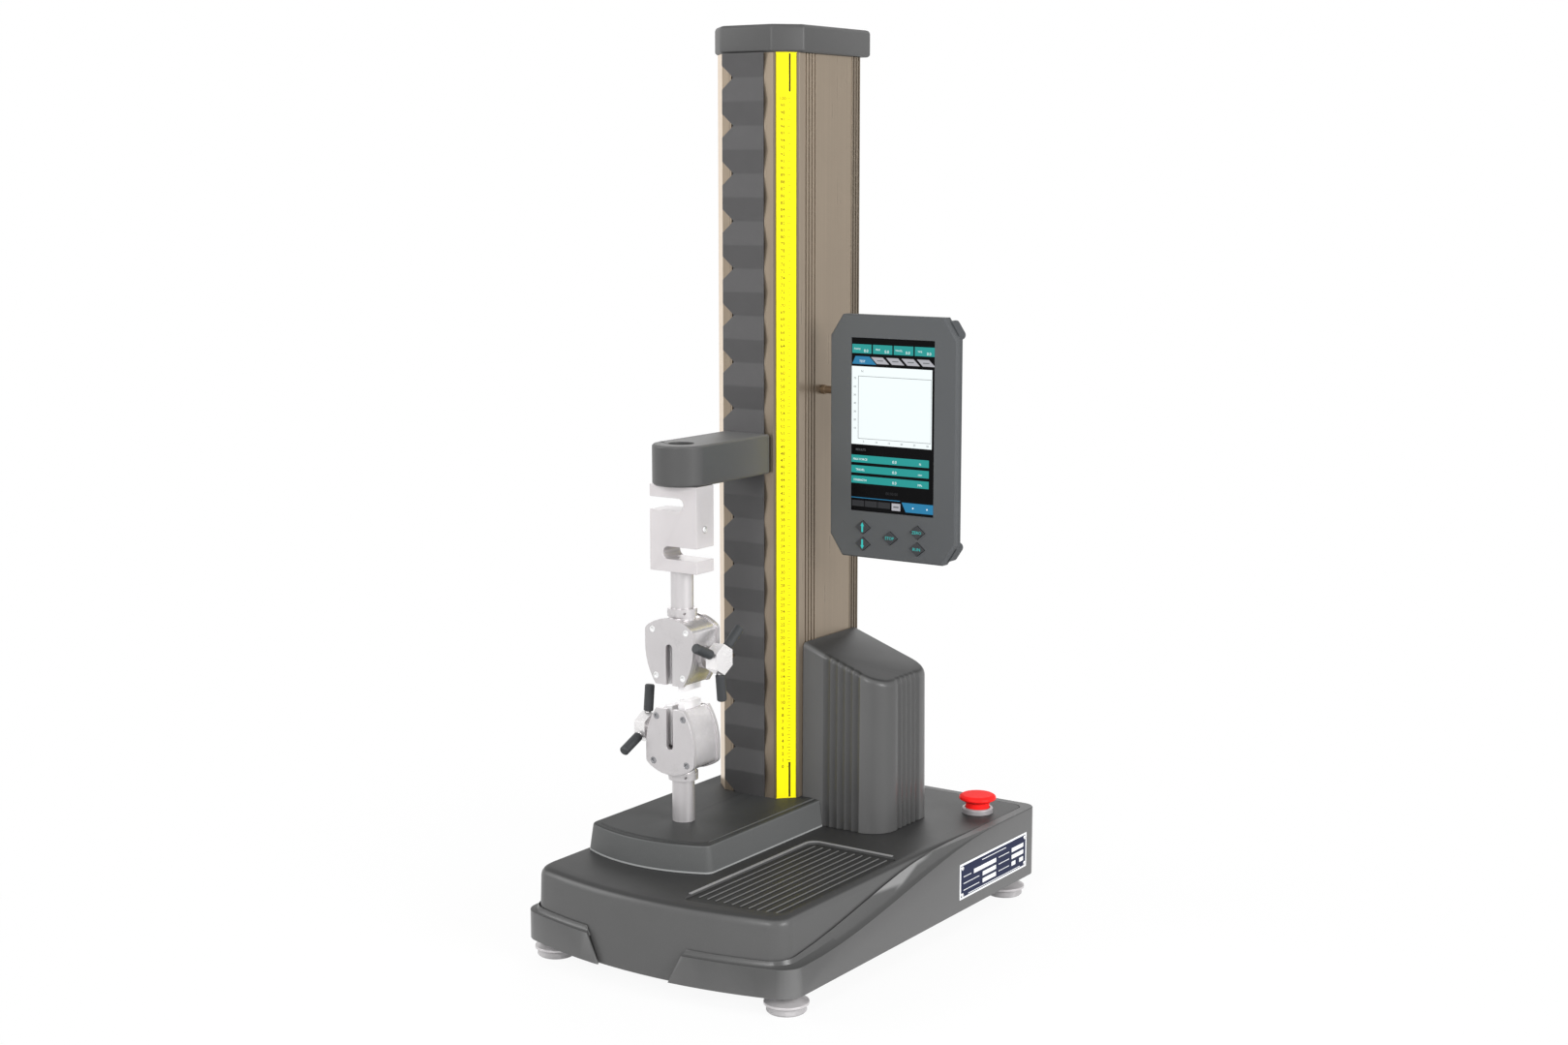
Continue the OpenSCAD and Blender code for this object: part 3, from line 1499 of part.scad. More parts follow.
// Places of the keys up, down, stop, zero and run: distance from the display's middle, share of the step
key_across = [-29.8, -29.8, -1.3, 26.7, 26.7];
key_up_share = [1, 0, 0.5, 1, 0];
function key_at(i) = [screen_mid + key_across[i], display_low + key_low + key_up_share[i] * key_step];

// Skin over flat rings that face along y: each ring is [inset, y], front first
module faced(rings) {
    rotate([90, 0, 0]) skin([
        for (i = [len(rings) - 1:-1:0]) [for (p = display_plan(rings[i][0])) [p[0], p[1], -rings[i][1]]]
    ]);
}

module lozenge(i, grow, y0, y1) {
    c = key_at(i);
    w = key_w / 2 + grow;
    h = key_h / 2 + grow;
    slab_y([[c[0] - w, c[1]], [c[0], c[1] - h], [c[0] + w, c[1]], [c[0], c[1] + h]], y0, y1);
}

module screen_shape(grow, y0, y1) {
    block(
        [screen_mid - screen_w / 2 - grow, y0, screen_bottom - grow],
        [screen_mid + screen_w / 2 + grow, y1, screen_bottom + screen_h + grow]
    );
}

module display_bezel() {
    back = display_y + bezel_t;
    color("#45464a") placed() difference() {
        faced([[bezel_edge, display_y], [0, display_y + bezel_edge], [0, back]]);
        screen_shape(seat, display_y - over, display_y + screen_dip + screen_t);
        for (i = [0:4]) lozenge(i, slip, display_y - over, display_y + key_pocket);
    }
}

module display_screen() {
    color("#0a0b0c") placed() screen_shape(0, display_y + screen_dip, display_y + screen_dip + screen_t);
}

// Guard behind one corner cut: a round-ended bar along it
module guard(across, up, y0, y1) {
    cut = [across * corner_x, -up * corner_z];
    out = [across * corner_z, up * corner_x] / norm(cut);
    a = [screen_mid + across * (display_w / 2 - corner_x), display_low + (1 + up) * display_h / 2] + out * guard_out;
    p = a + cut * guard_share;
    q = a + cut * (1 - guard_share);
    slab_y(rounded([p, q, q - out * 2 * guard_r, p - out * 2 * guard_r], guard_r * guard_round_share, corner_n), y0, y1);
}

module display_housing() {
    front = display_y + bezel_t;
    back = front + back_t;
    color("#3c3d40") placed() difference() {
        union() {
            faced([[0, front], [0, front + back_t * wall_share], [back_taper, back]]);
            for (across = [-1, 1], up = [-1, 1]) guard(across, up, front, back);
            block(
                [screen_mid - lug_w / 2, back - over, pivot_z - lug_h / 2],
                [screen_mid + lug_w / 2, pivot_y + lug_t / 2, pivot_z + lug_h / 2]
            );
        }
        bar_x(screen_mid - lug_w, screen_mid + lug_w, pivot_y, pivot_z, post_d + 2 * run);
    }
}

module display_bracket() {
    end = screen_mid + lug_w / 2 + collar_t;
    color("#6d6152") placed() {
        bar_x(col_half - col_wall, end, pivot_y, pivot_z, post_d);
        bar_x(panel_x, panel_x + collar_t, pivot_y, pivot_z, post_d + collar_over);
        bar_x(end - collar_t + slip, end, pivot_y, pivot_z, post_d + collar_over);
    }
}

module key(i) {
    color("#33353a") placed() lozenge(i, 0, display_y - key_out, display_y + key_pocket / 2);
}

module key_up() { key(0); }
module key_down() { key(1); }
module key_stop() { key(2); }
module key_zero() { key(3); }
module key_run() { key(4); }

// Stop button: a fixed ring on the cover, a stem that is pressed in, and a head that turns on it

stem_d = 14;
ring_wall = 2.7;
nut_t = 6;
contact_size = [24, 20, 18];
contact_wall = 1;

module estop_bezel() {
    inner = ring_d / 2 - ring_wall;
    color("#8f9194") placed() translate([stop_x, stop_y, base_h]) rotate_extrude() polygon([
        [inner, 0], [ring_d / 2, 0], [ring_d / 2, ring_h - soft], [ring_d / 2 - soft, ring_h], [inner, ring_h]
    ]);
}

head_t = 3;
stem_top = ring_h + stop_travel + head_h - head_t;

module estop_stem() {
    color("#7a1512") placed() translate([stop_x, stop_y, 0])
        translate([0, 0, base_h - cover_top_t - nut_t]) cylinder(h = cover_top_t + nut_t + stem_top, d = stem_d);
}

module estop_button() {
    neck = neck_d / 2 - slip;
    wide = head_d / 2;
    color("#e3231c") placed() translate([stop_x, stop_y, base_h + stop_travel]) difference() {
        rotate_extrude() polygon([
            [0, slip], [neck, slip], [neck, ring_h + soft], [wide - soft, ring_h + head_h / 2 - soft],
            [wide, ring_h + head_h / 2], [wide - soft / 2, ring_h + head_h - 2 * soft],
            [wide - 3 * soft, ring_h + head_h - soft / 2], [0, ring_h + head_h]
        ]);
        translate([0, 0, -base_h]) cylinder(h = base_h + stem_top - stop_travel + slip, d = stem_d + 2 * run);
    }
}

module estop_contacts() {
    top = base_h - cover_top_t - nut_t - stop_travel - slip;
    size = contact_size;
    color("#24262a") placed() translate([stop_x, stop_y, 0]) {
        block([-size[0] / 2, -size[1] / 2, top - size[2]], [size[0] / 2, size[1] / 2, top]);
        for (side = [-1, 1]) {
            block(
                [side * (size[0] / 2 - contact_wall) - contact_wall, -size[1] / 2, top - contact_wall],
                [side * (size[0] / 2 - contact_wall) + contact_wall, size[1] / 2, base_h - cover_top_t]
            );
        }
    }
}

base_plate();
base_skirt();
base_cover();
deck();
tray_mat();
foot_pads();
foot_studs();
power_inlet();
power_rocker();
control_board();
power_supply();
column();
top_cap();
ruler_strip();
bellows_upper();
bellows_lower();
guide_rods();
bearing_blocks();
screw_bearings();
lead_screw();
screw_pulley();
motor();
motor_bracket();
motor_pulley();
timing_belt();
motor_housing();
carriage();
carriage_bushes();
arm();
arm_bolt();
load_cell();
upper_rod();
upper_grip_body();
upper_grip_plates();
upper_grip_screws();
upper_fixed_jaw();
upper_moving_jaw();
upper_handle();
upper_sleeves();
lower_rod();
lower_grip_body();
lower_grip_plates();
lower_grip_screws();
lower_fixed_jaw();
lower_moving_jaw();
lower_handle();
lower_sleeves();
display_bracket();
display_housing();
display_bezel();
display_screen();
key_up();
key_down();
key_stop();
key_zero();
key_run();
estop_bezel();
estop_contacts();
estop_stem();
estop_button();
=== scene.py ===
"""Looks of a bench-top universal testing machine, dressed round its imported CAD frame."""

import json
import logging
import math
from collections.abc import Sequence
from dataclasses import dataclass, field
from enum import Enum

import bmesh
import bpy
import numpy as np
from mathutils import Matrix, Vector

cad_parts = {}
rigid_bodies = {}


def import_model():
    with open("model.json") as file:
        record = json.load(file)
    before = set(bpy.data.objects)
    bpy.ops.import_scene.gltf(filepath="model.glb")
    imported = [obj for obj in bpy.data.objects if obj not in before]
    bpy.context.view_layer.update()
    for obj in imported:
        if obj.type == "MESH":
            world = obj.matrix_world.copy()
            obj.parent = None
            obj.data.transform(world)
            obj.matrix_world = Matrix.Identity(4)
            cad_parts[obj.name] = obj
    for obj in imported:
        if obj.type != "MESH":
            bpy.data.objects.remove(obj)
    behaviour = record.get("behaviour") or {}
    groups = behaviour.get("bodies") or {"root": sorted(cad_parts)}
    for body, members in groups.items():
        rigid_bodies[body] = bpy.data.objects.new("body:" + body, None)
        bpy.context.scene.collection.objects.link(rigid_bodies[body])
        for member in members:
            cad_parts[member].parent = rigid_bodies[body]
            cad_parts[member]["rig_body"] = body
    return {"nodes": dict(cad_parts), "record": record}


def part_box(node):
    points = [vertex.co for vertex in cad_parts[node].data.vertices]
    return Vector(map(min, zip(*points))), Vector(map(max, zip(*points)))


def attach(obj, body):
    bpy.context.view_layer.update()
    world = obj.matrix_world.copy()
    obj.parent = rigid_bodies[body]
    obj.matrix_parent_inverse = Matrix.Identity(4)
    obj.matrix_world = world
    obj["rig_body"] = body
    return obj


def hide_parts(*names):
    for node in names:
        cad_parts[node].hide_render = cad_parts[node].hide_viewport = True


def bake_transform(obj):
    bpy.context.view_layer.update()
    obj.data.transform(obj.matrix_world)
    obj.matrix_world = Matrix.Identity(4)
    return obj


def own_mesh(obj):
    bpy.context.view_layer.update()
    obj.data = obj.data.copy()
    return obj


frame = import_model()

log = logging.getLogger("testing_machine")

Point = tuple[float, float, float]
Colour = tuple[float, float, float, float]

MM = 0.001
# Part of a diagonal direction along each of its two axes
DIAGONAL = 0.7071
# Where the working frame of the CAD lies in the part's frame, in millimetres
MIDDLE_X, MIDDLE_Y, GROUND = 57.248, -21.172, 18.0


def at(x: float, y: float, z: float) -> Vector:
    """Turns a place in the CAD's working frame, in millimetres, into the part's frame, in metres."""
    return Vector(((x - MIDDLE_X) * MM, (y - MIDDLE_Y) * MM, (z + GROUND) * MM))


def tone(red: int, green: int, blue: int) -> Colour:
    """Turns a screen colour of 0 to 255 a channel into a linear one."""

    def linear(value: float) -> float:
        """Linear light of one channel."""
        share = value / 255
        return share / 12.92 if share <= 0.04045 else ((share + 0.055) / 1.055) ** 2.4

    return linear(red), linear(green), linear(blue), 1.0


def dimmed(colour: Colour, share: float) -> Colour:
    """The same colour, darker or lighter."""
    return tuple(min(1.0, c * share) for c in colour[:3]) + (1.0,)


# ---- shader maths


class Value:
    """A number that a shader works out: wraps a socket, so that Python's operators add Math nodes."""

    def __init__(self, graph: "Graph", socket: bpy.types.NodeSocket) -> None:
        """Keeps the graph and the output socket."""
        self.graph = graph
        self.socket = socket

    def math(self, operation: str, first: "Value | float", second: "Value | float" = 0.0) -> "Value":
        """One Math node on two operands."""
        return self.graph.value("ShaderNodeMath", {"operation": operation}, {0: first, 1: second})

    def __add__(self, other: "Value | float") -> "Value":
        """self + other"""
        return self.math("ADD", self, other)

    def __radd__(self, other: "Value | float") -> "Value":
        """other + self"""
        return self.math("ADD", other, self)

    def __sub__(self, other: "Value | float") -> "Value":
        """self - other"""
        return self.math("SUBTRACT", self, other)

    def __rsub__(self, other: "Value | float") -> "Value":
        """other - self"""
        return self.math("SUBTRACT", other, self)

    def __mul__(self, other: "Value | float") -> "Value":
        """self * other"""
        return self.math("MULTIPLY", self, other)

    def __rmul__(self, other: "Value | float") -> "Value":
        """other * self"""
        return self.math("MULTIPLY", other, self)

    def __pow__(self, other: "Value | float") -> "Value":
        """self ** other"""
        return self.math("POWER", self, other)

    def above(self, edge: float, soft: float) -> "Value":
        """0 below the edge, 1 above it, with a soft step between."""
        settings = {"interpolation_type": "SMOOTHSTEP"}
        return self.graph.value("ShaderNodeMapRange", settings, {0: self, 1: edge - soft, 2: edge + soft})


class Graph:
    """The node tree of one material with a Principled shader."""

    def __init__(self, name: str) -> None:
        """Makes the material and finds its shader.

        Args:
            name: the material's name
        """
        self.material = bpy.data.materials.new(name)
        self.material.use_nodes = True
        self.tree = self.material.node_tree
        self.shader = next(n for n in self.tree.nodes if n.type == "BSDF_PRINCIPLED")
        self.places: dict[tuple, bpy.types.NodeSocket] = {}

    def node(self, kind: str, settings: dict | None = None, inputs: dict | None = None) -> bpy.types.Node:
        """Adds one node.

        Args:
            kind: the node's type
            settings: its properties, set first
            inputs: values or links by socket name or number

        Returns:
            the node
        """
        made = self.tree.nodes.new(kind)
        for key, setting in (settings or {}).items():
            setattr(made, key, setting)
        for key, given in (inputs or {}).items():
            self.feed(made.inputs[key], given)
        return made

    def feed(self, socket: bpy.types.NodeSocket, given: object) -> None:
        """Links or sets one input socket."""
        source = given.socket if isinstance(given, Value) else given
        if isinstance(source, bpy.types.NodeSocket):
            self.tree.links.new(source, socket)
        else:
            socket.default_value = source

    def value(
            self, kind: str, settings: dict | None = None, inputs: dict | None = None, output: int | str = 0
    ) -> Value:
        """Adds a node and wraps one of its outputs."""
        return Value(self, self.node(kind, settings, inputs).outputs[output])

    def place(self, stretch: Point = (1.0, 1.0, 1.0), by: str = "Object") -> bpy.types.NodeSocket:
        """Coordinates on the piece, stretched along the axes.

        Args:
            stretch: factor along each axis; a small one draws a pattern out along that axis
            by: "Object" or "UV"

        Returns:
            the vector socket
        """
        key = (stretch, by)
        if key not in self.places:
            source = self.node("ShaderNodeTexCoord").outputs[by]
            self.places[key] = self.node(
                "ShaderNodeMapping", None, {"Vector": source, "Scale": stretch}).outputs[0]
        return self.places[key]

    def noise(
            self, size: float, detail: float = 2.0, stretch: Point = (1.0, 1.0, 1.0), by: str = "Object"
    ) -> Value:
        """Cloudy noise from 0 to 1.

        Args:
            size: size of its patches in millimetres
            detail: octaves
            stretch: as for place
            by: as for place

        Returns:
            the noise
        """
        inputs = {
            "Vector": self.place(stretch, by), "Scale": 1 / (size * MM), "Detail": detail, "Roughness": 0.55
        }
        return self.value("ShaderNodeTexNoise", None, inputs)

    def bands(self, pitch: float, direction: str, wobble: float = 0.0, by: str = "Object") -> Value:
        """Even waves along one axis.

        Args:
            pitch: distance of two crests in millimetres
            direction: "X", "Y" or "Z"
            wobble: how far noise bends them
            by: as for place

        Returns:
            the wave from 0 to 1
        """
        settings = {"wave_type": "BANDS", "bands_direction": direction}
        scale = math.pi / 10 / (pitch * MM)
        inputs = {"Vector": self.place(by=by), "Scale": scale, "Distortion": wobble, "Detail": 1.0}
        return self.value("ShaderNodeTexWave", settings, inputs, 1)

    def facing(self, x: float, y: float, z: float) -> Value:
        """How far a face looks along a direction, 1 where it looks straight that way."""
        normal = self.node("ShaderNodeNewGeometry").outputs["Normal"]
        across, along, up = (self.value("ShaderNodeSeparateXYZ", None, {0: normal}, axis) for axis in "XYZ")
        return across * x + along * y + up * z

    def edges(self) -> Value:
        """Mask of the piece's convex edges."""
        return self.value("ShaderNodeNewGeometry", None, None, "Pointiness").above(0.555, 0.03)

    def mixed(self, mask: Value | float, low: object, high: object) -> bpy.types.NodeSocket:
        """Colour between two colours."""
        made = self.node("ShaderNodeMix", {"data_type": "RGBA"}, {0: mask, 6: low, 7: high})
        return made.outputs[2]

    def relief(self, height: Value, depth: float, strength: float = 1.0) -> None:
        """Feeds the shader's normal from a height of 0 to 1 that is so many millimetres deep."""
        inputs = {"Height": height, "Distance": depth * MM, "Strength": strength}
        self.feed(self.shader.inputs["Normal"], self.node("ShaderNodeBump", None, inputs).outputs[0])

    def surface(self, **inputs: object) -> bpy.types.Material:
        """Sets the shader's sockets, named with _ for a space, and returns the material."""
        for key, given in inputs.items():
            self.feed(self.shader.inputs[key.replace("_", " ")], given)
        return self.material


# ---- finishes


@dataclass(frozen=True)
class Moulding:
    """Moulded plastic or satin paint with a fine grain.

    Faces that look up take the colour times top, as painted shade (painted light where top is above 1); a
    painted highlight line runs round between the band's two heights.
    """

    colour: Colour
    roughness: float = 0.4
    coat: float = 0.0
    grain: float = 0.45
    depth: float = 0.012
    cloud: float = 0.06
    # share of the painted highlight along the convex edges
    wear: float = 0.35
    gloss: float = 0.5
    # factor of the painted shade on faces that look up, painted light where it is above 1
    top: float = 1.0
    # heights between which a painted highlight line runs
    band: tuple[float, float] | None = None

    def build(self, name: str) -> bpy.types.Material:
        """Makes the material."""
        g = Graph(name)
        broad, fine = g.noise(55, 3), g.noise(self.grain, 3)
        shade = g.mixed(broad, dimmed(self.colour, 1 - self.cloud), dimmed(self.colour, 1 + self.cloud))
        flecked = g.mixed(fine.above(0.62, 0.08) * 0.35, shade, dimmed(self.colour, 1.5))
        # painted shade on faces that look up, or painted light where top is above 1
        upward = g.facing(0, 0, 1).above(0.7, 0.12)
        flecked = g.mixed(upward * 0.9, flecked, dimmed(self.colour, self.top))
        # painted highlight along the convex edges
        base = g.mixed(g.edges() * self.wear, flecked, dimmed(self.colour, 3.4))
        # painted highlight: a bright line between the band's two heights
        if self.band is not None:
            height = g.value("ShaderNodeSeparateXYZ", None, {0: g.place()}, "Z")
            low, high = (height.above(edge * MM, 0.1 * MM) for edge in self.band)
            base = g.mixed((low - high) * 0.8, base, dimmed(self.colour, 4.0))
        g.relief(fine, self.depth)
        rough = self.roughness + (broad - 0.5) * 0.1 + (fine - 0.5) * 0.08 + upward * 0.2
        return g.surface(
            Base_Color=base, Roughness=rough, Coat_Weight=self.coat, Coat_Roughness=0.15,
            Specular_IOR_Level=self.gloss)


@dataclass(frozen=True)
class BrushedAlloy:
    """Metal brushed, drawn or ground along one axis.

    Behind the margin, a depth in millimetres, it is darker: painted shade. The corner faces on the left take
    the colour times pale, a painted highlight, and those on the right the colour times dark, a painted
    shade.
    """

    colour: Colour
    along: str = "Z"
    roughness: float = 0.36
    metal: float = 1.0
    streak: float = 0.5
    contrast: float = 0.1
    depth: float = 0.012
    # depth behind which painted shade darkens the metal
    margin: float | None = None
    # pale: painted highlight on the left corner faces; dark: painted shade on the right ones
    pale: float = 1.0
    dark: float = 1.0

    def build(self, name: str) -> bpy.types.Material:
        """Makes the material."""
        g = Graph(name)
        stretch = tuple(0.012 if axis == self.along else 1.0 for axis in "XYZ")
        lines, wide = g.noise(self.streak, 3, stretch), g.noise(self.streak * 9, 2, stretch)
        mask = lines * 0.6 + wide * 0.4
        body = g.mixed(mask, dimmed(self.colour, 1 - self.contrast), dimmed(self.colour, 1 + self.contrast))
        smear = g.noise(38, 3)
        base = g.mixed(smear.above(0.62, 0.12) * 0.12, body, dimmed(self.colour, 0.8))
        if self.margin is not None:
            depth = g.value("ShaderNodeSeparateXYZ", None, {0: g.place()}, "Y")
            # painted shade behind the margin
            base = g.mixed(depth.above(self.margin * MM, 0.2 * MM) * 0.8, base, dimmed(self.colour, 0.55))
        # painted highlight on the left corner faces (pale), painted shade on the right ones (dark)
        for x, factor in ((-DIAGONAL, self.pale), (DIAGONAL, self.dark)):
            if factor != 1.0:
                base = g.mixed(
                    g.facing(x, -DIAGONAL, 0).above(0.95, 0.02) * 0.9, base, dimmed(self.colour, factor))
        g.relief(lines, self.depth)
        rough = self.roughness + (mask - 0.5) * 0.18 + (smear - 0.5) * 0.06
        return g.surface(Base_Color=base, Roughness=rough, Metallic=self.metal)


@dataclass(frozen=True)
class SatinMetal:
    """Bead-blasted and plated metal with painted highlights on its edges."""

    colour: Colour
    roughness: float = 0.3
    metal: float = 1.0
    grain: float = 0.25
    depth: float = 0.008

    def build(self, name: str) -> bpy.types.Material:
        """Makes the material."""
        g = Graph(name)
        fine, broad = g.noise(self.grain, 2), g.noise(24, 3)
        body = g.mixed(broad, dimmed(self.colour, 0.94), dimmed(self.colour, 1.05))
        # painted highlight on the convex edges
        base = g.mixed(g.edges() * 0.5, body, dimmed(self.colour, 1.25))
        g.relief(fine, self.depth)
        rough = self.roughness + (fine - 0.5) * 0.12 + (broad - 0.5) * 0.08
        return g.surface(Base_Color=base, Roughness=rough, Metallic=self.metal)


@dataclass(frozen=True)
class TurnedMetal:
    """Metal turned on a lathe, with fine rings round one axis."""

    colour: Colour
    axis: str = "Z"
    roughness: float = 0.36
    ring: float = 0.5
    metal: float = 0.6

    def build(self, name: str) -> bpy.types.Material:
        """Makes the material."""
        g = Graph(name)
        rings, smear = g.bands(self.ring, self.axis, 0.6), g.noise(16, 3)
        base = g.mixed(rings * 0.4 + smear * 0.6, dimmed(self.colour, 0.94), dimmed(self.colour, 1.05))
        g.relief(rings, 0.002)
        rough = self.roughness + (smear - 0.5) * 0.08
        return g.surface(Base_Color=base, Roughness=rough, Metallic=self.metal)


@dataclass(frozen=True)
class Rubber:
    """Matt rubber with paler specks; what stands above the crest, in millimetres, is painted pale as a
    highlight.
    """

    colour: Colour
    roughness: float = 0.72
    speck: float = 0.6
    crest: float | None = None
    gloss: float = 0.3

    def build(self, name: str) -> bpy.types.Material:
        """Makes the material."""
        g = Graph(name)
        fine, dust = g.noise(self.speck, 4), g.noise(11, 4)
        body = g.mixed(fine, dimmed(self.colour, 0.85), dimmed(self.colour, 1.18))
        base = g.mixed(dust.above(0.6, 0.1) * 0.22, body, dimmed(self.colour, 1.7))
        if self.crest is not None:
            height = g.value("ShaderNodeSeparateXYZ", None, {0: g.place()}, "Z")
            # painted highlight on what stands above the crest
            base = g.mixed(height.above(self.crest * MM, 0.1 * MM) * 0.8, base, dimmed(self.colour, 6.0))
        g.relief(fine, 0.05)
        rough = self.roughness + (dust - 0.5) * 0.14
        return g.surface(Base_Color=base, Roughness=rough, Specular_IOR_Level=self.gloss)


@dataclass(frozen=True)
class CoatedCloth:
    """Coated woven cloth, darker where it faces down as painted shade; the weave follows the cloth's own
    map.
    """

    colour: Colour
    thread: float = 0.55

    def build(self, name: str) -> bpy.types.Material:
        """Makes the material."""
        g = Graph(name)
        warp, weft = g.bands(self.thread, "X", 0.3, "UV"), g.bands(self.thread, "Y", 0.3, "UV")
        weave, worn = warp * weft, g.noise(14, 4, by="UV")
        body = g.mixed(weave, dimmed(self.colour, 0.82), dimmed(self.colour, 1.15))
        faded = g.mixed(worn.above(0.58, 0.12) * 0.2, body, dimmed(self.colour, 1.35))
        # painted shade on facets that face down
        base = g.mixed(g.facing(0, 0, 1).above(0.0, 0.25), dimmed(self.colour, 0.74), faded)
        g.relief(weave, 0.06)
        rough = 0.62 + (worn - 0.5) * 0.2
        return g.surface(Base_Color=base, Roughness=rough, Sheen_Weight=0.15, Sheen_Roughness=0.5)


@dataclass(frozen=True)
class Film:
    """Printed film or ink with a thin clear coat."""

    colour: Colour
    roughness: float = 0.4
    coat: float = 0.2

    def build(self, name: str) -> bpy.types.Material:
        """Makes the material."""
        g = Graph(name)
        dots, broad = g.noise(0.3, 2), g.noise(42, 2)
        body = g.mixed(broad, dimmed(self.colour, 0.96), dimmed(self.colour, 1.03))
        base = g.mixed(dots.above(0.66, 0.05) * 0.12, body, dimmed(self.colour, 0.8))
        g.relief(dots, 0.004)
        rough = self.roughness + (broad - 0.5) * 0.08
        return g.surface(
            Base_Color=base, Roughness=rough, Coat_Weight=self.coat, Coat_Roughness=0.2,
            Specular_IOR_Level=0.2)


@dataclass(frozen=True)
class Glow:
    """Lit picture area of the screen, with its rows of picture dots."""

    colour: Colour
    strength: float = 1.0

    def build(self, name: str) -> bpy.types.Material:
        """Makes the material."""
        g = Graph(name)
        dots = g.bands(0.3, "X") * g.bands(0.3, "Z")
        lit = g.mixed(dots, dimmed(self.colour, 0.9), self.colour)
        dark = dimmed(self.colour, 0.05)
        return g.surface(
            Base_Color=dark, Roughness=0.35, Emission_Color=lit, Emission_Strength=self.strength,
            Specular_IOR_Level=0.2,
        )


@dataclass(frozen=True)
class ScreenGlass:
    """Dark cover glass with faint smears."""

    colour: Colour

    def build(self, name: str) -> bpy.types.Material:
        """Makes the material."""
        g = Graph(name)
        smear = g.noise(30, 4, (1.0, 1.0, 0.5))
        base = g.mixed(smear, self.colour, dimmed(self.colour, 1.4))
        rough = 0.1 + smear.above(0.6, 0.15) * 0.07
        return g.surface(Base_Color=base, Roughness=rough, Specular_IOR_Level=0.05)


@dataclass(frozen=True)
class Laminate:
    """Green board with fine copper traces."""

    colour: Colour

    def build(self, name: str) -> bpy.types.Material:
        """Makes the material."""
        g = Graph(name)
        lanes = g.bands(2.4, "X", 2.5) * g.bands(3.1, "Y", 2.5)
        trace = lanes.above(0.7, 0.03)
        base = g.mixed(trace, g.mixed(g.noise(9), self.colour, dimmed(self.colour, 1.4)), tone(70, 140, 70))
        g.relief(trace, 0.04)
        return g.surface(Base_Color=base, Roughness=0.35 + trace * 0.1)


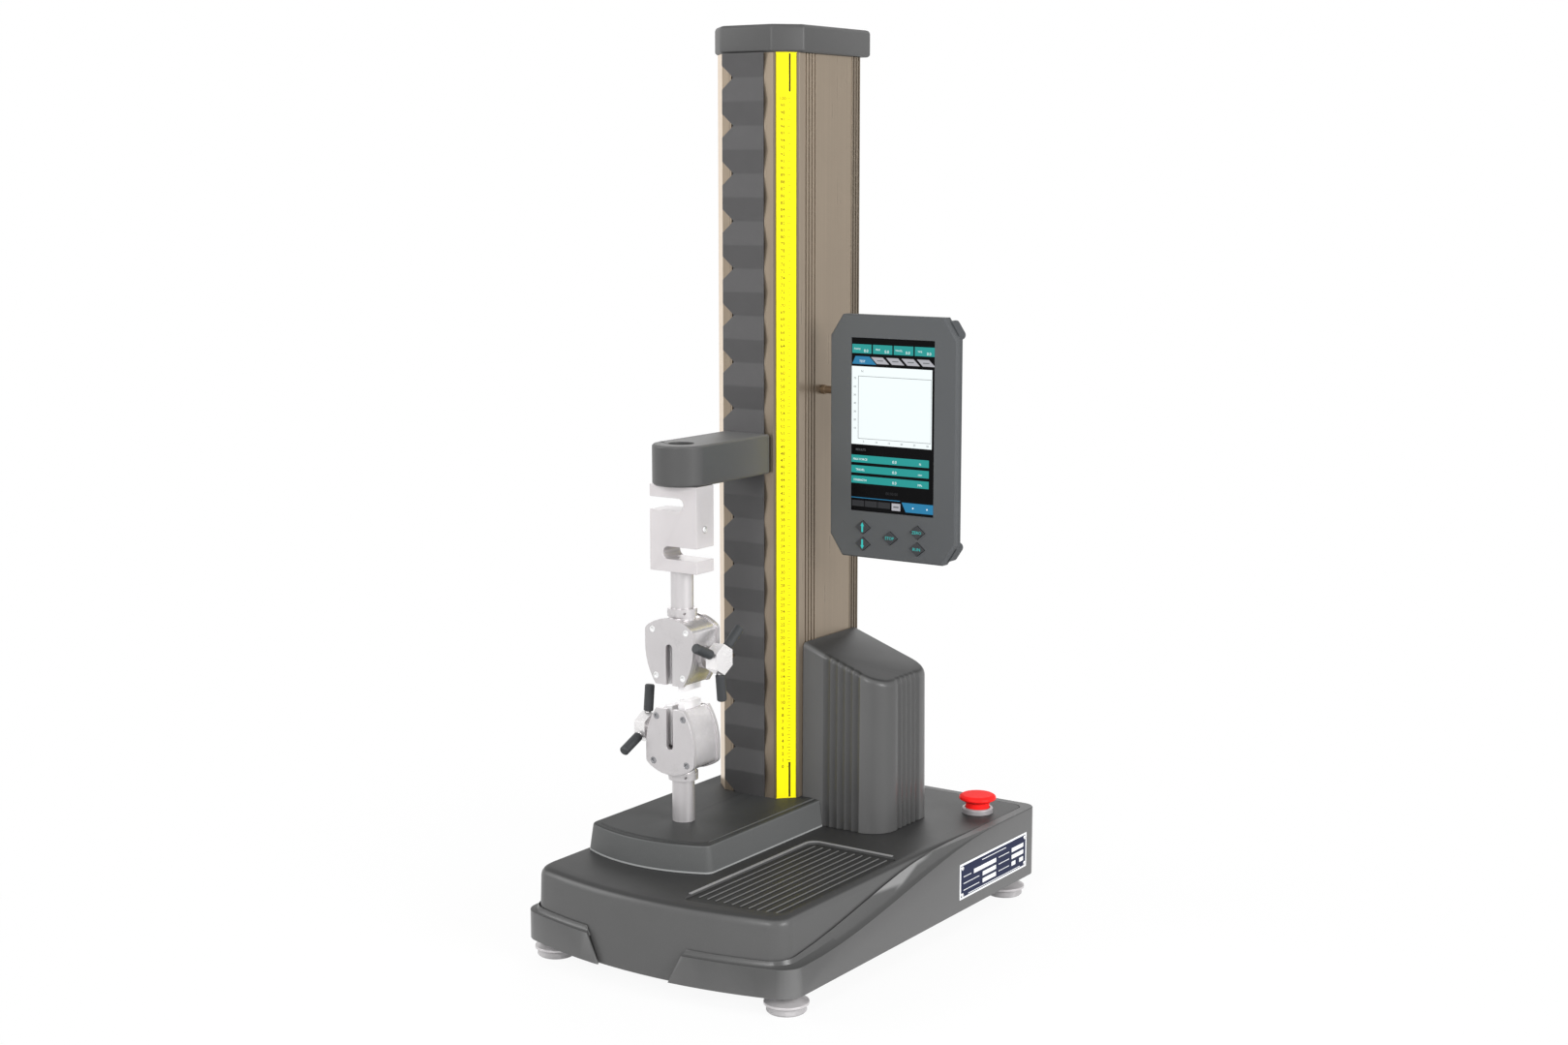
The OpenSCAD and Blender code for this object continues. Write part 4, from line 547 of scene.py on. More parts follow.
class Paint(Enum):
    """Every finish of the machine by its plain name."""

    # top paints shade on faces that look up, and painted light on ARM where it is above 1
    # wear paints highlights along the convex edges
    COVER = Moulding(tone(82, 82, 82), roughness=0.32, gloss=0.22, wear=0.0, top=0.3, band=(83.75, 92.0))
    SKIRT = Moulding(tone(74, 74, 74), roughness=0.32, gloss=0.35, wear=0.9, top=0.7)
    DECK = Moulding(
        tone(85, 86, 86), roughness=0.38, grain=0.6, gloss=0.15, wear=0.2, top=0.3, band=(83.0, 85.4))
    HOUSING = Moulding(tone(72, 72, 72), roughness=0.3, gloss=0.22, wear=0.8, top=0.35)
    CAP = Moulding(tone(68, 68, 68), roughness=0.42, gloss=0.25, top=0.7)
    ARM = Moulding(tone(72, 72, 72), roughness=0.36, grain=0.35, gloss=0.3, top=2.0)
    DISPLAY_FRONT = Moulding(tone(31, 31, 32), roughness=0.32, grain=0.3, gloss=0.12, wear=0.9)
    DISPLAY_BACK = Moulding(tone(40, 40, 41), roughness=0.3, grain=0.3, gloss=0.3, wear=0.9)
    KEY = Moulding(tone(42, 43, 45), roughness=0.4, grain=0.3, wear=0.3, gloss=0.2)
    BLACK = Moulding(tone(28, 28, 30), roughness=0.5)
    BLACK_GLOSS = Moulding(tone(18, 18, 20), roughness=0.18, depth=0.004)
    RED = Moulding(
        tone(255, 36, 34), roughness=0.42, gloss=0.12, grain=0.8, depth=0.006, cloud=0.04, wear=0.1)
    DARK_RED = Moulding(tone(120, 20, 20), roughness=0.5)
    GREY_RING = SatinMetal(tone(166, 162, 164), roughness=0.4, metal=0.3)
    # MAT: crest paints a highlight on the tops of the ribs
    MAT = Rubber(tone(48, 48, 48), roughness=0.5, crest=82.5, gloss=0.1)
    PAD = Rubber(tone(164, 162, 163), roughness=0.5)
    SLEEVE = Rubber(tone(54, 56, 58), roughness=0.5)
    BELT = Rubber(tone(24, 24, 25))
    # COLUMN: margin paints shade behind it; pale paints a highlight on the left corner faces and dark a
    # shade on the right ones
    COLUMN = BrushedAlloy(
        tone(138, 125, 109), roughness=0.3, metal=0.6, contrast=0.16, streak=2.2, depth=0.003,
        margin=124.4, pale=2.9, dark=0.5)
    POST = BrushedAlloy(tone(126, 106, 84), roughness=0.36, metal=0.6, contrast=0.1)
    FLOOR_STEEL = Moulding(tone(110, 112, 115), roughness=0.5)
    MOTOR = Moulding(tone(34, 35, 38), roughness=0.45)
    BLOCK = BrushedAlloy(tone(170, 172, 175), along="X")
    SHEET_ZINC = BrushedAlloy(tone(180, 182, 185), along="Y", roughness=0.4)
    ROD = BrushedAlloy(tone(215, 216, 218), roughness=0.14, contrast=0.04, depth=0.003)
    TURNED = TurnedMetal(tone(192, 189, 190))
    STUD = TurnedMetal(tone(190, 187, 188), metal=0.3)
    PULLEY = TurnedMetal(tone(190, 192, 195), ring=0.8, metal=0.9)
    BRONZE = TurnedMetal(tone(190, 150, 90), ring=0.7, metal=0.9)
    CELL = SatinMetal(tone(190, 186, 187), roughness=0.36, metal=0.3)
    GRIP = SatinMetal(tone(204, 201, 202), roughness=0.26, metal=0.6)
    PLATE = SatinMetal(tone(188, 185, 186), roughness=0.3, metal=0.5)
    JAW = SatinMetal(tone(226, 224, 225), roughness=0.4, metal=0.1, grain=0.5, depth=0.02)
    HANDLE = SatinMetal(tone(226, 224, 224), roughness=0.26, metal=0.7)
    SCREW_BRIGHT = SatinMetal(tone(236, 234, 234), roughness=0.25, metal=0.7)
    SCREW_DARK = SatinMetal(tone(128, 126, 128), roughness=0.32, metal=0.7)
    BOLT_BLACK = SatinMetal(tone(70, 71, 74), roughness=0.35)
    CLOTH = CoatedCloth(tone(66, 65, 66))
    SCALE = Film(tone(255, 238, 0), coat=0.0, roughness=0.6)
    SCALE_INK = Film(tone(96, 84, 3), coat=0.0, roughness=0.6)
    INK = Film(tone(24, 22, 6), coat=0.0, roughness=0.6)
    PLATE_FIELD = Film(tone(20, 28, 60), coat=0.0, roughness=0.5)
    WHITE_INK = Film(tone(240, 242, 244), coat=0.1)
    GLASS = ScreenGlass(tone(8, 8, 9))
    BOARD = Laminate(tone(28, 92, 54))
    LIT_WHITE = Glow(tone(246, 254, 255))
    LIT_TEAL = Glow(tone(34, 152, 148))
    LIT_BLUE = Glow(tone(36, 124, 168))
    LIT_GREY = Glow(tone(176, 176, 182))
    LIT_LINE = Glow(tone(96, 100, 102))
    LIT_DIM = Glow(tone(44, 45, 48))
    LIT_KEY = Glow(tone(64, 210, 205), strength=0.8)

    def material(self) -> bpy.types.Material:
        """The finish's material, made once."""
        name = self.name.lower()
        return bpy.data.materials.get(name) or self.value.build(name)


# ---- meshes


def new_piece(
        name: str, mesh: bpy.types.Mesh, paint: Paint, body: str, angle: float = 35.0) -> bpy.types.Object:
    """Makes a shown piece that rides on a body.

    Args:
        name: the piece's name
        mesh: its final mesh, in the part's frame
        paint: its finish
        body: the CAD body that it rides on
        angle: edges sharper than this many degrees stay sharp

    Returns:
        the piece
    """
    for key in ("custom_normal", "sharp_face"):
        if key in mesh.attributes:
            mesh.attributes.remove(mesh.attributes[key])
    mesh.shade_smooth()
    mesh.set_sharp_from_angle(angle=math.radians(angle))
    mesh.materials.clear()
    mesh.materials.append(paint.material())
    piece = bpy.data.objects.new(name, mesh)
    bpy.context.scene.collection.objects.link(piece)
    if body:
        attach(piece, body)
    return piece


def mesh_of(name: str, points: Sequence[Sequence[float]], faces: Sequence[Sequence[int]]) -> bpy.types.Mesh:
    """Makes a mesh from points and faces, with its normals turned outwards."""
    mesh = bpy.data.meshes.new(name)
    mesh.from_pydata([tuple(p) for p in points], [], [tuple(f) for f in faces])
    form = bmesh.new()
    form.from_mesh(mesh)
    bmesh.ops.remove_doubles(form, verts=form.verts, dist=1e-7)
    bmesh.ops.recalc_face_normals(form, faces=form.faces)
    form.to_mesh(mesh)
    form.free()
    return mesh


class MeshHeap:
    """Gathers simple solids into one mesh."""

    def __init__(self) -> None:
        """Starts empty."""
        self.points: list[Vector] = []
        self.faces: list[list[int]] = []

    def add(self, points: Sequence[Vector], faces: Sequence[Sequence[int]]) -> None:
        """Adds points and their faces."""
        start = len(self.points)
        self.points += [Vector(p) for p in points]
        self.faces += [[i + start for i in f] for f in faces]

    def prism(self, outline: Sequence[Vector], rise: Vector) -> None:
        """Adds a flat outline raised by a vector."""
        n = len(outline)
        walls = [[i, (i + 1) % n, (i + 1) % n + n, i + n] for i in range(n)]
        top = [Vector(p) + rise for p in outline]
        self.add([*outline, *top], [list(range(n))[::-1], [i + n for i in range(n)], *walls])

    def mesh(self, name: str) -> bpy.types.Mesh:
        """The gathered mesh."""
        return mesh_of(name, self.points, self.faces)


def turned_mesh(name: str, profile: Sequence[tuple[float, float]], steps: int = 24) -> bpy.types.Mesh:
    """Turns a profile of radius and height, in millimetres, round the z axis."""
    heap = MeshHeap()
    points = [
        Vector((r * math.cos(a), r * math.sin(a), h)) * MM
        for r, h in profile
        for a in (2 * math.pi * i / steps for i in range(steps))
    ]
    last = len(profile) - 1
    walls = [
        [k * steps + i, k * steps + (i + 1) % steps, (k + 1) * steps + (i + 1) % steps, (k + 1) * steps + i]
        for k in range(last)
        for i in range(steps)
    ]
    heap.add(points, [list(range(steps))[::-1], [last * steps + i for i in range(steps)], *walls])
    return heap.mesh(name)


@dataclass(frozen=True)
class CadSkin:
    """A CAD node shown as a merged copy of itself with rounded edges."""

    node: str
    paint: Paint
    edge: float = 0.3
    steps: int = 2
    limit: float = 32.0

    def build(self) -> bpy.types.Object:
        """Makes the copy, rounds its edges, and lets it stand for the node.

        Returns:
            the piece
        """
        source = frame["nodes"][self.node]
        mesh = source.data.copy()
        mesh.name = self.node + "_skin"
        form = bmesh.new()
        form.from_mesh(mesh)
        bmesh.ops.remove_doubles(form, verts=form.verts, dist=3e-6)
        bmesh.ops.dissolve_limit(form, angle_limit=math.radians(0.4), verts=form.verts, edges=form.edges)
        form.to_mesh(mesh)
        form.free()
        piece = new_piece(self.node + "_skin", mesh, self.paint, "")
        bevel = piece.modifiers.new("edges", "BEVEL")
        bevel.width, bevel.segments = self.edge * MM, self.steps
        bevel.limit_method, bevel.angle_limit = "ANGLE", math.radians(self.limit)
        bevel.use_clamp_overlap, bevel.harden_normals = True, True
        bpy.context.view_layer.update()
        dressed = bpy.data.meshes.new_from_object(piece.evaluated_get(bpy.context.evaluated_depsgraph_get()))
        piece.modifiers.remove(bevel)
        piece.data = dressed
        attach(piece, source["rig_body"])
        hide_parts(self.node)
        slot_of(self.node)
        return piece


@dataclass(frozen=True)
class CadPaint:
    """A CAD node that keeps its own mesh and gets a finish."""

    node: str
    paint: Paint

    def build(self) -> bpy.types.Object:
        """Puts the finish on the node."""
        piece = frame["nodes"][self.node]
        piece.data.materials.clear()
        piece.data.materials.append(self.paint.material())
        return piece


def slot_of(node: str) -> str:
    """The record's material slot of a CAD node."""
    return next(s["material_slot"] for s in frame["record"]["subparts"] if s["node"] == node)


# ---- repeats made with geometry nodes


class Repeat:
    """Node tree that sets copies of a small form on a mesh's points, each turned by its point's angles."""

    FORM, FINISH = "Form", "Finish"

    def __init__(self) -> None:
        """Builds the tree with its named inputs."""
        tree = bpy.data.node_groups.new("copies_on_points", "GeometryNodeTree")
        face = tree.interface
        face.new_socket("Geometry", in_out="INPUT", socket_type="NodeSocketGeometry")
        self.form = face.new_socket(self.FORM, in_out="INPUT", socket_type="NodeSocketObject").identifier
        self.finish = face.new_socket(
            self.FINISH, in_out="INPUT", socket_type="NodeSocketMaterial").identifier
        self.size = face.new_socket("Size", in_out="INPUT", socket_type="NodeSocketFloat").identifier
        face.new_socket("Geometry", in_out="OUTPUT", socket_type="NodeSocketGeometry")
        nodes, link = tree.nodes, tree.links.new
        given, result = nodes.new("NodeGroupInput"), nodes.new("NodeGroupOutput")
        info = nodes.new("GeometryNodeObjectInfo")
        info.transform_space = "ORIGINAL"
        angles = nodes.new("GeometryNodeInputNamedAttribute")
        angles.data_type = "FLOAT_VECTOR"
        angles.inputs["Name"].default_value = "turn"
        turn = nodes.new("FunctionNodeEulerToRotation")
        copies = nodes.new("GeometryNodeInstanceOnPoints")
        real = nodes.new("GeometryNodeRealizeInstances")
        paint = nodes.new("GeometryNodeSetMaterial")
        link(given.outputs["Geometry"], copies.inputs["Points"])
        link(given.outputs[self.FORM], info.inputs["Object"])
        link(info.outputs["Geometry"], copies.inputs["Instance"])
        link(angles.outputs["Attribute"], turn.inputs[0])
        link(turn.outputs[0], copies.inputs["Rotation"])
        link(given.outputs["Size"], copies.inputs["Scale"])
        link(copies.outputs[0], real.inputs[0])
        link(real.outputs[0], paint.inputs["Geometry"])
        link(given.outputs[self.FINISH], paint.inputs["Material"])
        link(paint.outputs[0], result.inputs[0])
        self.tree = tree

    def make(
            self, name: str, form: bpy.types.Mesh, points: Sequence[Vector], turns: Sequence[Point],
            paint: Paint, body: str, size: float = 1.0) -> bpy.types.Object:
        """Sets copies of a form on points.

        Args:
            name: the piece's name
            form: mesh of one copy, about the origin
            points: where the copies go
            turns: Euler angles of each copy, in radians
            paint: their finish
            body: the body that they ride on
            size: scale of the copies

        Returns:
            one piece with all copies
        """
        host_mesh = bpy.data.meshes.new(name + "_points")
        host_mesh.from_pydata([tuple(p) for p in points], [], [])
        angles = host_mesh.attributes.new("turn", "FLOAT_VECTOR", "POINT")
        angles.data.foreach_set("vector", np.array(turns, np.float32).ravel())
        host = bpy.data.objects.new(name + "_host", host_mesh)
        pattern = bpy.data.objects.new(name + "_form", form)
        for helper in (host, pattern):
            bpy.context.scene.collection.objects.link(helper)
        setting = host.modifiers.new("copies", "NODES")
        setting.node_group = self.tree
        setting[self.form], setting[self.finish], setting[self.size] = pattern, paint.material(), size
        bpy.context.view_layer.update()
        mesh = bpy.data.meshes.new_from_object(host.evaluated_get(bpy.context.evaluated_depsgraph_get()))
        host.modifiers.remove(setting)
        for helper in (host, pattern):
            bpy.data.objects.remove(helper)
        return new_piece(name, mesh, paint, body)


def brick(size: Vector) -> bpy.types.Mesh:
    """A small block about the origin."""
    heap = MeshHeap()
    x, y, z = size / 2
    heap.prism(
        [Vector((-x, -y, -z)), Vector((x, -y, -z)), Vector((x, y, -z)), Vector((-x, y, -z))],
        Vector((0, 0, 2 * z)),
    )
    return heap.mesh("brick")


def screw_head(radius: float, height: float, socket: float) -> bpy.types.Mesh:
    """A domed socket-head screw whose head stands along +z, in millimetres."""
    profile = [
        (radius, -0.2), (radius, height * 0.55), (radius * 0.9, height * 0.85), (radius * 0.72, height),
        (socket, height), (socket * 0.92, height * 0.35), (0.05, height * 0.25),
    ]
    return turned_mesh("screw_head", profile, 12)


# ---- sub-assemblies


@dataclass
class Shells:
    """Base, deck, column and the other parts that keep their CAD shape."""

    skins: tuple[CadSkin, ...] = (
        CadSkin("base_skirt", Paint.SKIRT, 0.7),
        CadSkin("base_cover", Paint.COVER, 0.8),
        CadSkin("deck", Paint.DECK, 0.6),
        CadSkin("tray_mat", Paint.MAT, 0.25),
        CadSkin("column", Paint.COLUMN, 0.35),
        CadSkin("top_cap", Paint.CAP, 0.6),
        CadSkin("motor_housing", Paint.HOUSING, 0.9, 3, 36),
        CadSkin("arm", Paint.ARM, 0.5),
        CadSkin("arm_bolt", Paint.BOLT_BLACK, 0.5),
        CadSkin("load_cell", Paint.CELL, 0.4),
        CadSkin("carriage", Paint.BLOCK, 0.6),
        CadSkin("upper_rod", Paint.TURNED, 0.4),
        CadSkin("lower_rod", Paint.TURNED, 0.4),
        CadSkin("foot_pads", Paint.PAD, 0.5),
        CadSkin("foot_studs", Paint.STUD, 0.4),
        CadSkin("display_housing", Paint.DISPLAY_BACK, 0.8),
        CadSkin("display_bezel", Paint.DISPLAY_FRONT, 0.5),
        CadSkin("display_bracket", Paint.POST, 0.4),
        CadSkin("estop_bezel", Paint.GREY_RING, 0.4),
        CadSkin("estop_button", Paint.RED, 0.8, 3, 20),
        CadSkin("power_inlet", Paint.BLACK, 0.3),
        CadSkin("power_rocker", Paint.BLACK_GLOSS, 0.4),
        CadSkin("motor", Paint.MOTOR, 0.6),
        CadSkin("bearing_blocks", Paint.BLOCK, 0.5),
    )
    paints: tuple[CadPaint, ...] = (
        CadPaint("base_plate", Paint.FLOOR_STEEL),
        CadPaint("control_board", Paint.BOARD),
        CadPaint("power_supply", Paint.SHEET_ZINC),
        CadPaint("ruler_strip", Paint.SCALE),
        CadPaint("guide_rods", Paint.ROD),
        CadPaint("screw_bearings", Paint.TURNED),
        CadPaint("lead_screw", Paint.TURNED),
        CadPaint("screw_pulley", Paint.PULLEY),
        CadPaint("motor_pulley", Paint.PULLEY),
        CadPaint("motor_bracket", Paint.SHEET_ZINC),
        CadPaint("timing_belt", Paint.BELT),
        CadPaint("carriage_bushes", Paint.BRONZE),
        CadPaint("estop_contacts", Paint.BLACK),
        CadPaint("estop_stem", Paint.DARK_RED),
        CadPaint("display_screen", Paint.GLASS),
    )

    def build(self) -> None:
        """Dresses every shell."""
        for part in (*self.skins, *self.paints):
            piece = part.build()
            log.info("%s: %d faces", piece.name, len(piece.data.polygons))


@dataclass
class Grips:
    """Upper and lower screw grips."""

    edge: float = 0.35

    def build(self) -> None:
        """Dresses both grips."""
        for side, screws in (("upper", Paint.SCREW_BRIGHT), ("lower", Paint.SCREW_DARK)):
            for node, paint, edge in (
                ("grip_body", Paint.GRIP, 0.5), ("grip_plates", Paint.PLATE, self.edge),
                ("grip_screws", screws, 0.25),
                ("fixed_jaw", Paint.JAW, 0.3), ("moving_jaw", Paint.JAW, 0.3), ("handle", Paint.HANDLE, 0.6),
                ("sleeves", Paint.SLEEVE, 0.4),
            ):
                piece = CadSkin(f"{side}_{node}", paint, edge).build()
                log.info("%s: %d faces", piece.name, len(piece.data.polygons))


@dataclass
class SlotCovers:
    """The pleated cloths in the column's slot, above and below the arm."""

    steps: tuple[float, ...] = (0.0, 0.03, 0.08, 0.2, 0.35, 0.5, 0.65, 0.8, 0.92, 0.97)
    columns: int = 12
    thickness: float = 0.9
    narrow: float = 15.7
    sharpness: float = 0.998
    proud: float = 3.2
    bulge: float = 5.1
    lean: float = 1.1
    slant: float = 0.68
    flush: float = 17.2
    lip_inner: float = 17.7
    lip_outer: float = 19.45
    lip_front: float = 0.15
    lip_rear: float = 1.2

    def build(self) -> None:
        """Makes both cloths and the strips behind them."""
        self.lips()
        upper = self.cloth("bellows_upper", 8, True)
        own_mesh(upper)
        lower = self.cloth("bellows_lower", 7, False)
        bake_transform(lower)

    def cloth(self, node: str, folds: int, ridge_first: bool) -> bpy.types.Object:
        """Pleats one cloth in the place of its CAD node.

        Args:
            node: the CAD node
            folds: how many pleats it has
            ridge_first: whether its lower edge is an outer fold

        Returns:
            the piece
        """
        low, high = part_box(node)
        centre, wide = (low.x + high.x) / 2, (high.x - low.x) / 2
        face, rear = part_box("column")[0].y, high.y - self.thickness * MM
        spots = [k + step for k in range(folds * 2) for step in self.steps] + [folds * 2.0]
        count = len(spots) - 1
        front: list[Vector] = []
        uv: list[tuple[float, float]] = []
        run, last = 0.0, None
        for spot in spots:
            wave = math.asin(self.sharpness * math.cos(math.pi * spot)) / math.asin(self.sharpness)
            share = (1 + (wave if ridge_first else -wave)) / 2
            y = rear + (face - self.proud * MM - rear) * share
            half = self.flush * MM + self.slant * (rear - y)
            left = self.narrow * MM + (wide + self.bulge * MM - self.narrow * MM) * 2 * share
            left = min(left, wide + (self.bulge - self.lean * (2 * share - 1)) * MM)
            z = low.z + (high.z - low.z) * spot / (folds * 2)
            here = Vector((y, z))
            run += (here - last).length if last is not None else 0.0
            last = here
            rows = [
                (half if u > 0 else left) * u
                for u in (2 * c / self.columns - 1 for c in range(self.columns + 1))
            ]
            front += [Vector((centre + across, y, z)) for across in rows]
            uv += [(across, run) for across in rows]
        back = [p + Vector((0, self.thickness * MM, 0)) for p in front]
        n, w = count + 1, self.columns + 1
        total = n * w
        faces = [
            [r * w + c, r * w + c + 1, (r + 1) * w + c + 1, (r + 1) * w + c]
            for r in range(n - 1)
            for c in range(w - 1)
        ]
        faces += [[i + total for i in reversed(f)] for f in faces]
        rim = list(range(w)) + [r * w + w - 1 for r in range(1, n)]
        rim += [(n - 1) * w + c for c in range(w - 2, -1, -1)] + [r * w for r in range(n - 2, 0, -1)]
        faces += [
            [rim[(i + 1) % len(rim)], rim[i], rim[i] + total, rim[(i + 1) % len(rim)] + total]
            for i in range(len(rim))
        ]
        mesh = mesh_of(node + "_cloth", [*front, *back], faces)
        layer = mesh.uv_layers.new(name="cloth")
        both = uv + uv
        for loop in mesh.loops:
            layer.data[loop.index].uv = both[loop.vertex_index]
        body = "stand" if ridge_first else ""
        piece = new_piece(node + "_cloth", mesh, Paint.CLOTH, body, 24)
        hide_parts(node)
        log.info("%s: %d faces, %.0f mm of cloth", piece.name, len(mesh.polygons), run * 1000)
        return piece

    def lips(self) -> None:
        """Makes the guide strips that narrow the slot behind the pleats."""
        bottom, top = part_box("bellows_lower")[0].z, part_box("bellows_upper")[1].z
        low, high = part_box("column")
        face, centre = low.y, (low.x + high.x) / 2
        heap = MeshHeap()
        front, rear = self.lip_front, self.lip_rear
        for inner, outer in ((self.lip_inner, self.lip_outer), (-self.lip_outer, -self.lip_inner)):
            corners = [(inner, front), (outer, front), (outer, rear), (inner, rear)]
            heap.prism(
                [Vector((x * MM + centre, face + y * MM, bottom)) for x, y in corners],
                Vector((0, 0, top - bottom)),
            )
        new_piece("slot_lips", heap.mesh("slot_lips"), Paint.COLUMN, "stand")


@dataclass
class Scale:
    """Graduations and numbers on the column's yellow strip."""

    repeat: Repeat
    division: float = 6.05
    first: float = 30.0
    last: float = 640.0
    width: float = 18.8
    ink: float = 0.06
    number_height: float = 3.0
    number_weight: float = 0.07
    border: float = 0.014
    end_line: float = 34.0
    margin: float = 1.0

    def __post_init__(self) -> None:
        """Finds the strip's face."""
        low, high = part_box("ruler_strip")
        self.centre = Vector(((low.x + high.x) / 2, (low.y + high.y) / 2, low.z))
        self.across = Vector((1, 1, 0)).normalized()
        self.out = Vector((1, -1, 0)).normalized()
        self.length = (high.z - low.z) / MM

    def on_strip(self, across: float, up: float, proud: float = 0.0) -> Vector:
        """A place on the strip's face.

        Args:
            across: share of the strip's width from its left edge
            up: height above its foot in millimetres
            proud: distance in front of the face in millimetres

        Returns:
            the place
        """
        face = self.centre + self.out * 0.3 * MM
        along = self.across * (across - 0.5) * self.width * MM
        return face + along + self.out * proud * MM + Vector((0, 0, up * MM))

    def build(self) -> None:
        """Draws the ticks, the end lines and the numbers."""
        count = int((self.last - self.first) / self.division)
        turn = (0.0, 0.0, math.radians(45))
        small, large = [], []
        for i in range(count * 2 + 1):
            place = self.first + i * self.division / 2
            (large if i % 2 == 0 else small).append(place)
        for name, places, length, across in (("long", large, 3.2, 0.62), ("short", small, 2.0, 0.655)):
            form = brick(Vector((length, self.ink, 0.45)) * MM)
            points = [self.on_strip(across, z) for z in places]
            piece = self.repeat.make(
                f"scale_{name}_ticks", form, points, [turn] * len(points), Paint.SCALE_INK, "stand")
        lines = MeshHeap()
        near, far = self.margin, self.end_line
        for low, high in ((near, far), (self.length - far, self.length - near)):
            self.bar(lines, 0.665, 1.7, low, high)
        new_piece("scale_lines", lines.mesh("scale_lines"), Paint.INK, "stand")
        borders = MeshHeap()
        for across in (self.border, 1 - self.border):
            self.bar(borders, across, 0.5, 0.5, self.length - 0.5)
        new_piece("scale_borders", borders.mesh("scale_borders"), Paint.SCALE_INK, "stand")
        self.numbers(count)

    def bar(self, heap: MeshHeap, across: float, width: float, low: float, high: float) -> None:
        """Adds one upright line to a heap."""
        half = width / 2 / self.width
        corners = [(across - half, low), (across + half, low), (across + half, high), (across - half, high)]
        heap.prism([self.on_strip(a, z, -0.03) for a, z in corners], self.out * (self.ink / 2 + 0.03) * MM)

    def numbers(self, count: int) -> None:
        """Prints a plain running number beside each long tick."""
        heap = MeshHeap()
        basis = Matrix((self.across, Vector((0, 0, 1)), self.out)).transposed()
        for i in range(count + 1):
            points, faces = lettering(str(i), self.number_height, weight=self.number_weight)
            foot = self.on_strip(0.33, self.first + i * self.division - self.number_height / 2, -0.02)
            heap.add([foot + basis @ p for p in points], faces)
        piece = new_piece("scale_numbers", heap.mesh("scale_numbers"), Paint.SCALE_INK, "stand")


def lettering(
        words: str, height: float, depth: float = 0.05, weight: float = 0.0
) -> tuple[list[Vector], list[list[int]]]:
    """Points and faces of plain lettering in the xy plane, centred in x, with its foot on y = 0.

    Args:
        words: what it says
        height: height of a capital in millimetres
        depth: thickness in millimetres
        weight: how much bolder each stroke is, in millimetres

    Returns:
        its points in metres, and its faces
    """
    curve = bpy.data.curves.new("lettering", "FONT")
    curve.body, curve.align_x = words, "CENTER"
    curve.size, curve.extrude, curve.resolution_u = height * MM / 0.7, depth / 2 * MM, 2
    curve.offset = weight * MM
    holder = bpy.data.objects.new("lettering", curve)
    bpy.context.scene.collection.objects.link(holder)
    bpy.context.view_layer.update()
    mesh = bpy.data.meshes.new_from_object(holder.evaluated_get(bpy.context.evaluated_depsgraph_get()))
    bpy.data.objects.remove(holder)
    points = [v.co.copy() + Vector((0, 0, depth / 2 * MM)) for v in mesh.vertices]
    return points, [list(p.vertices) for p in mesh.polygons]


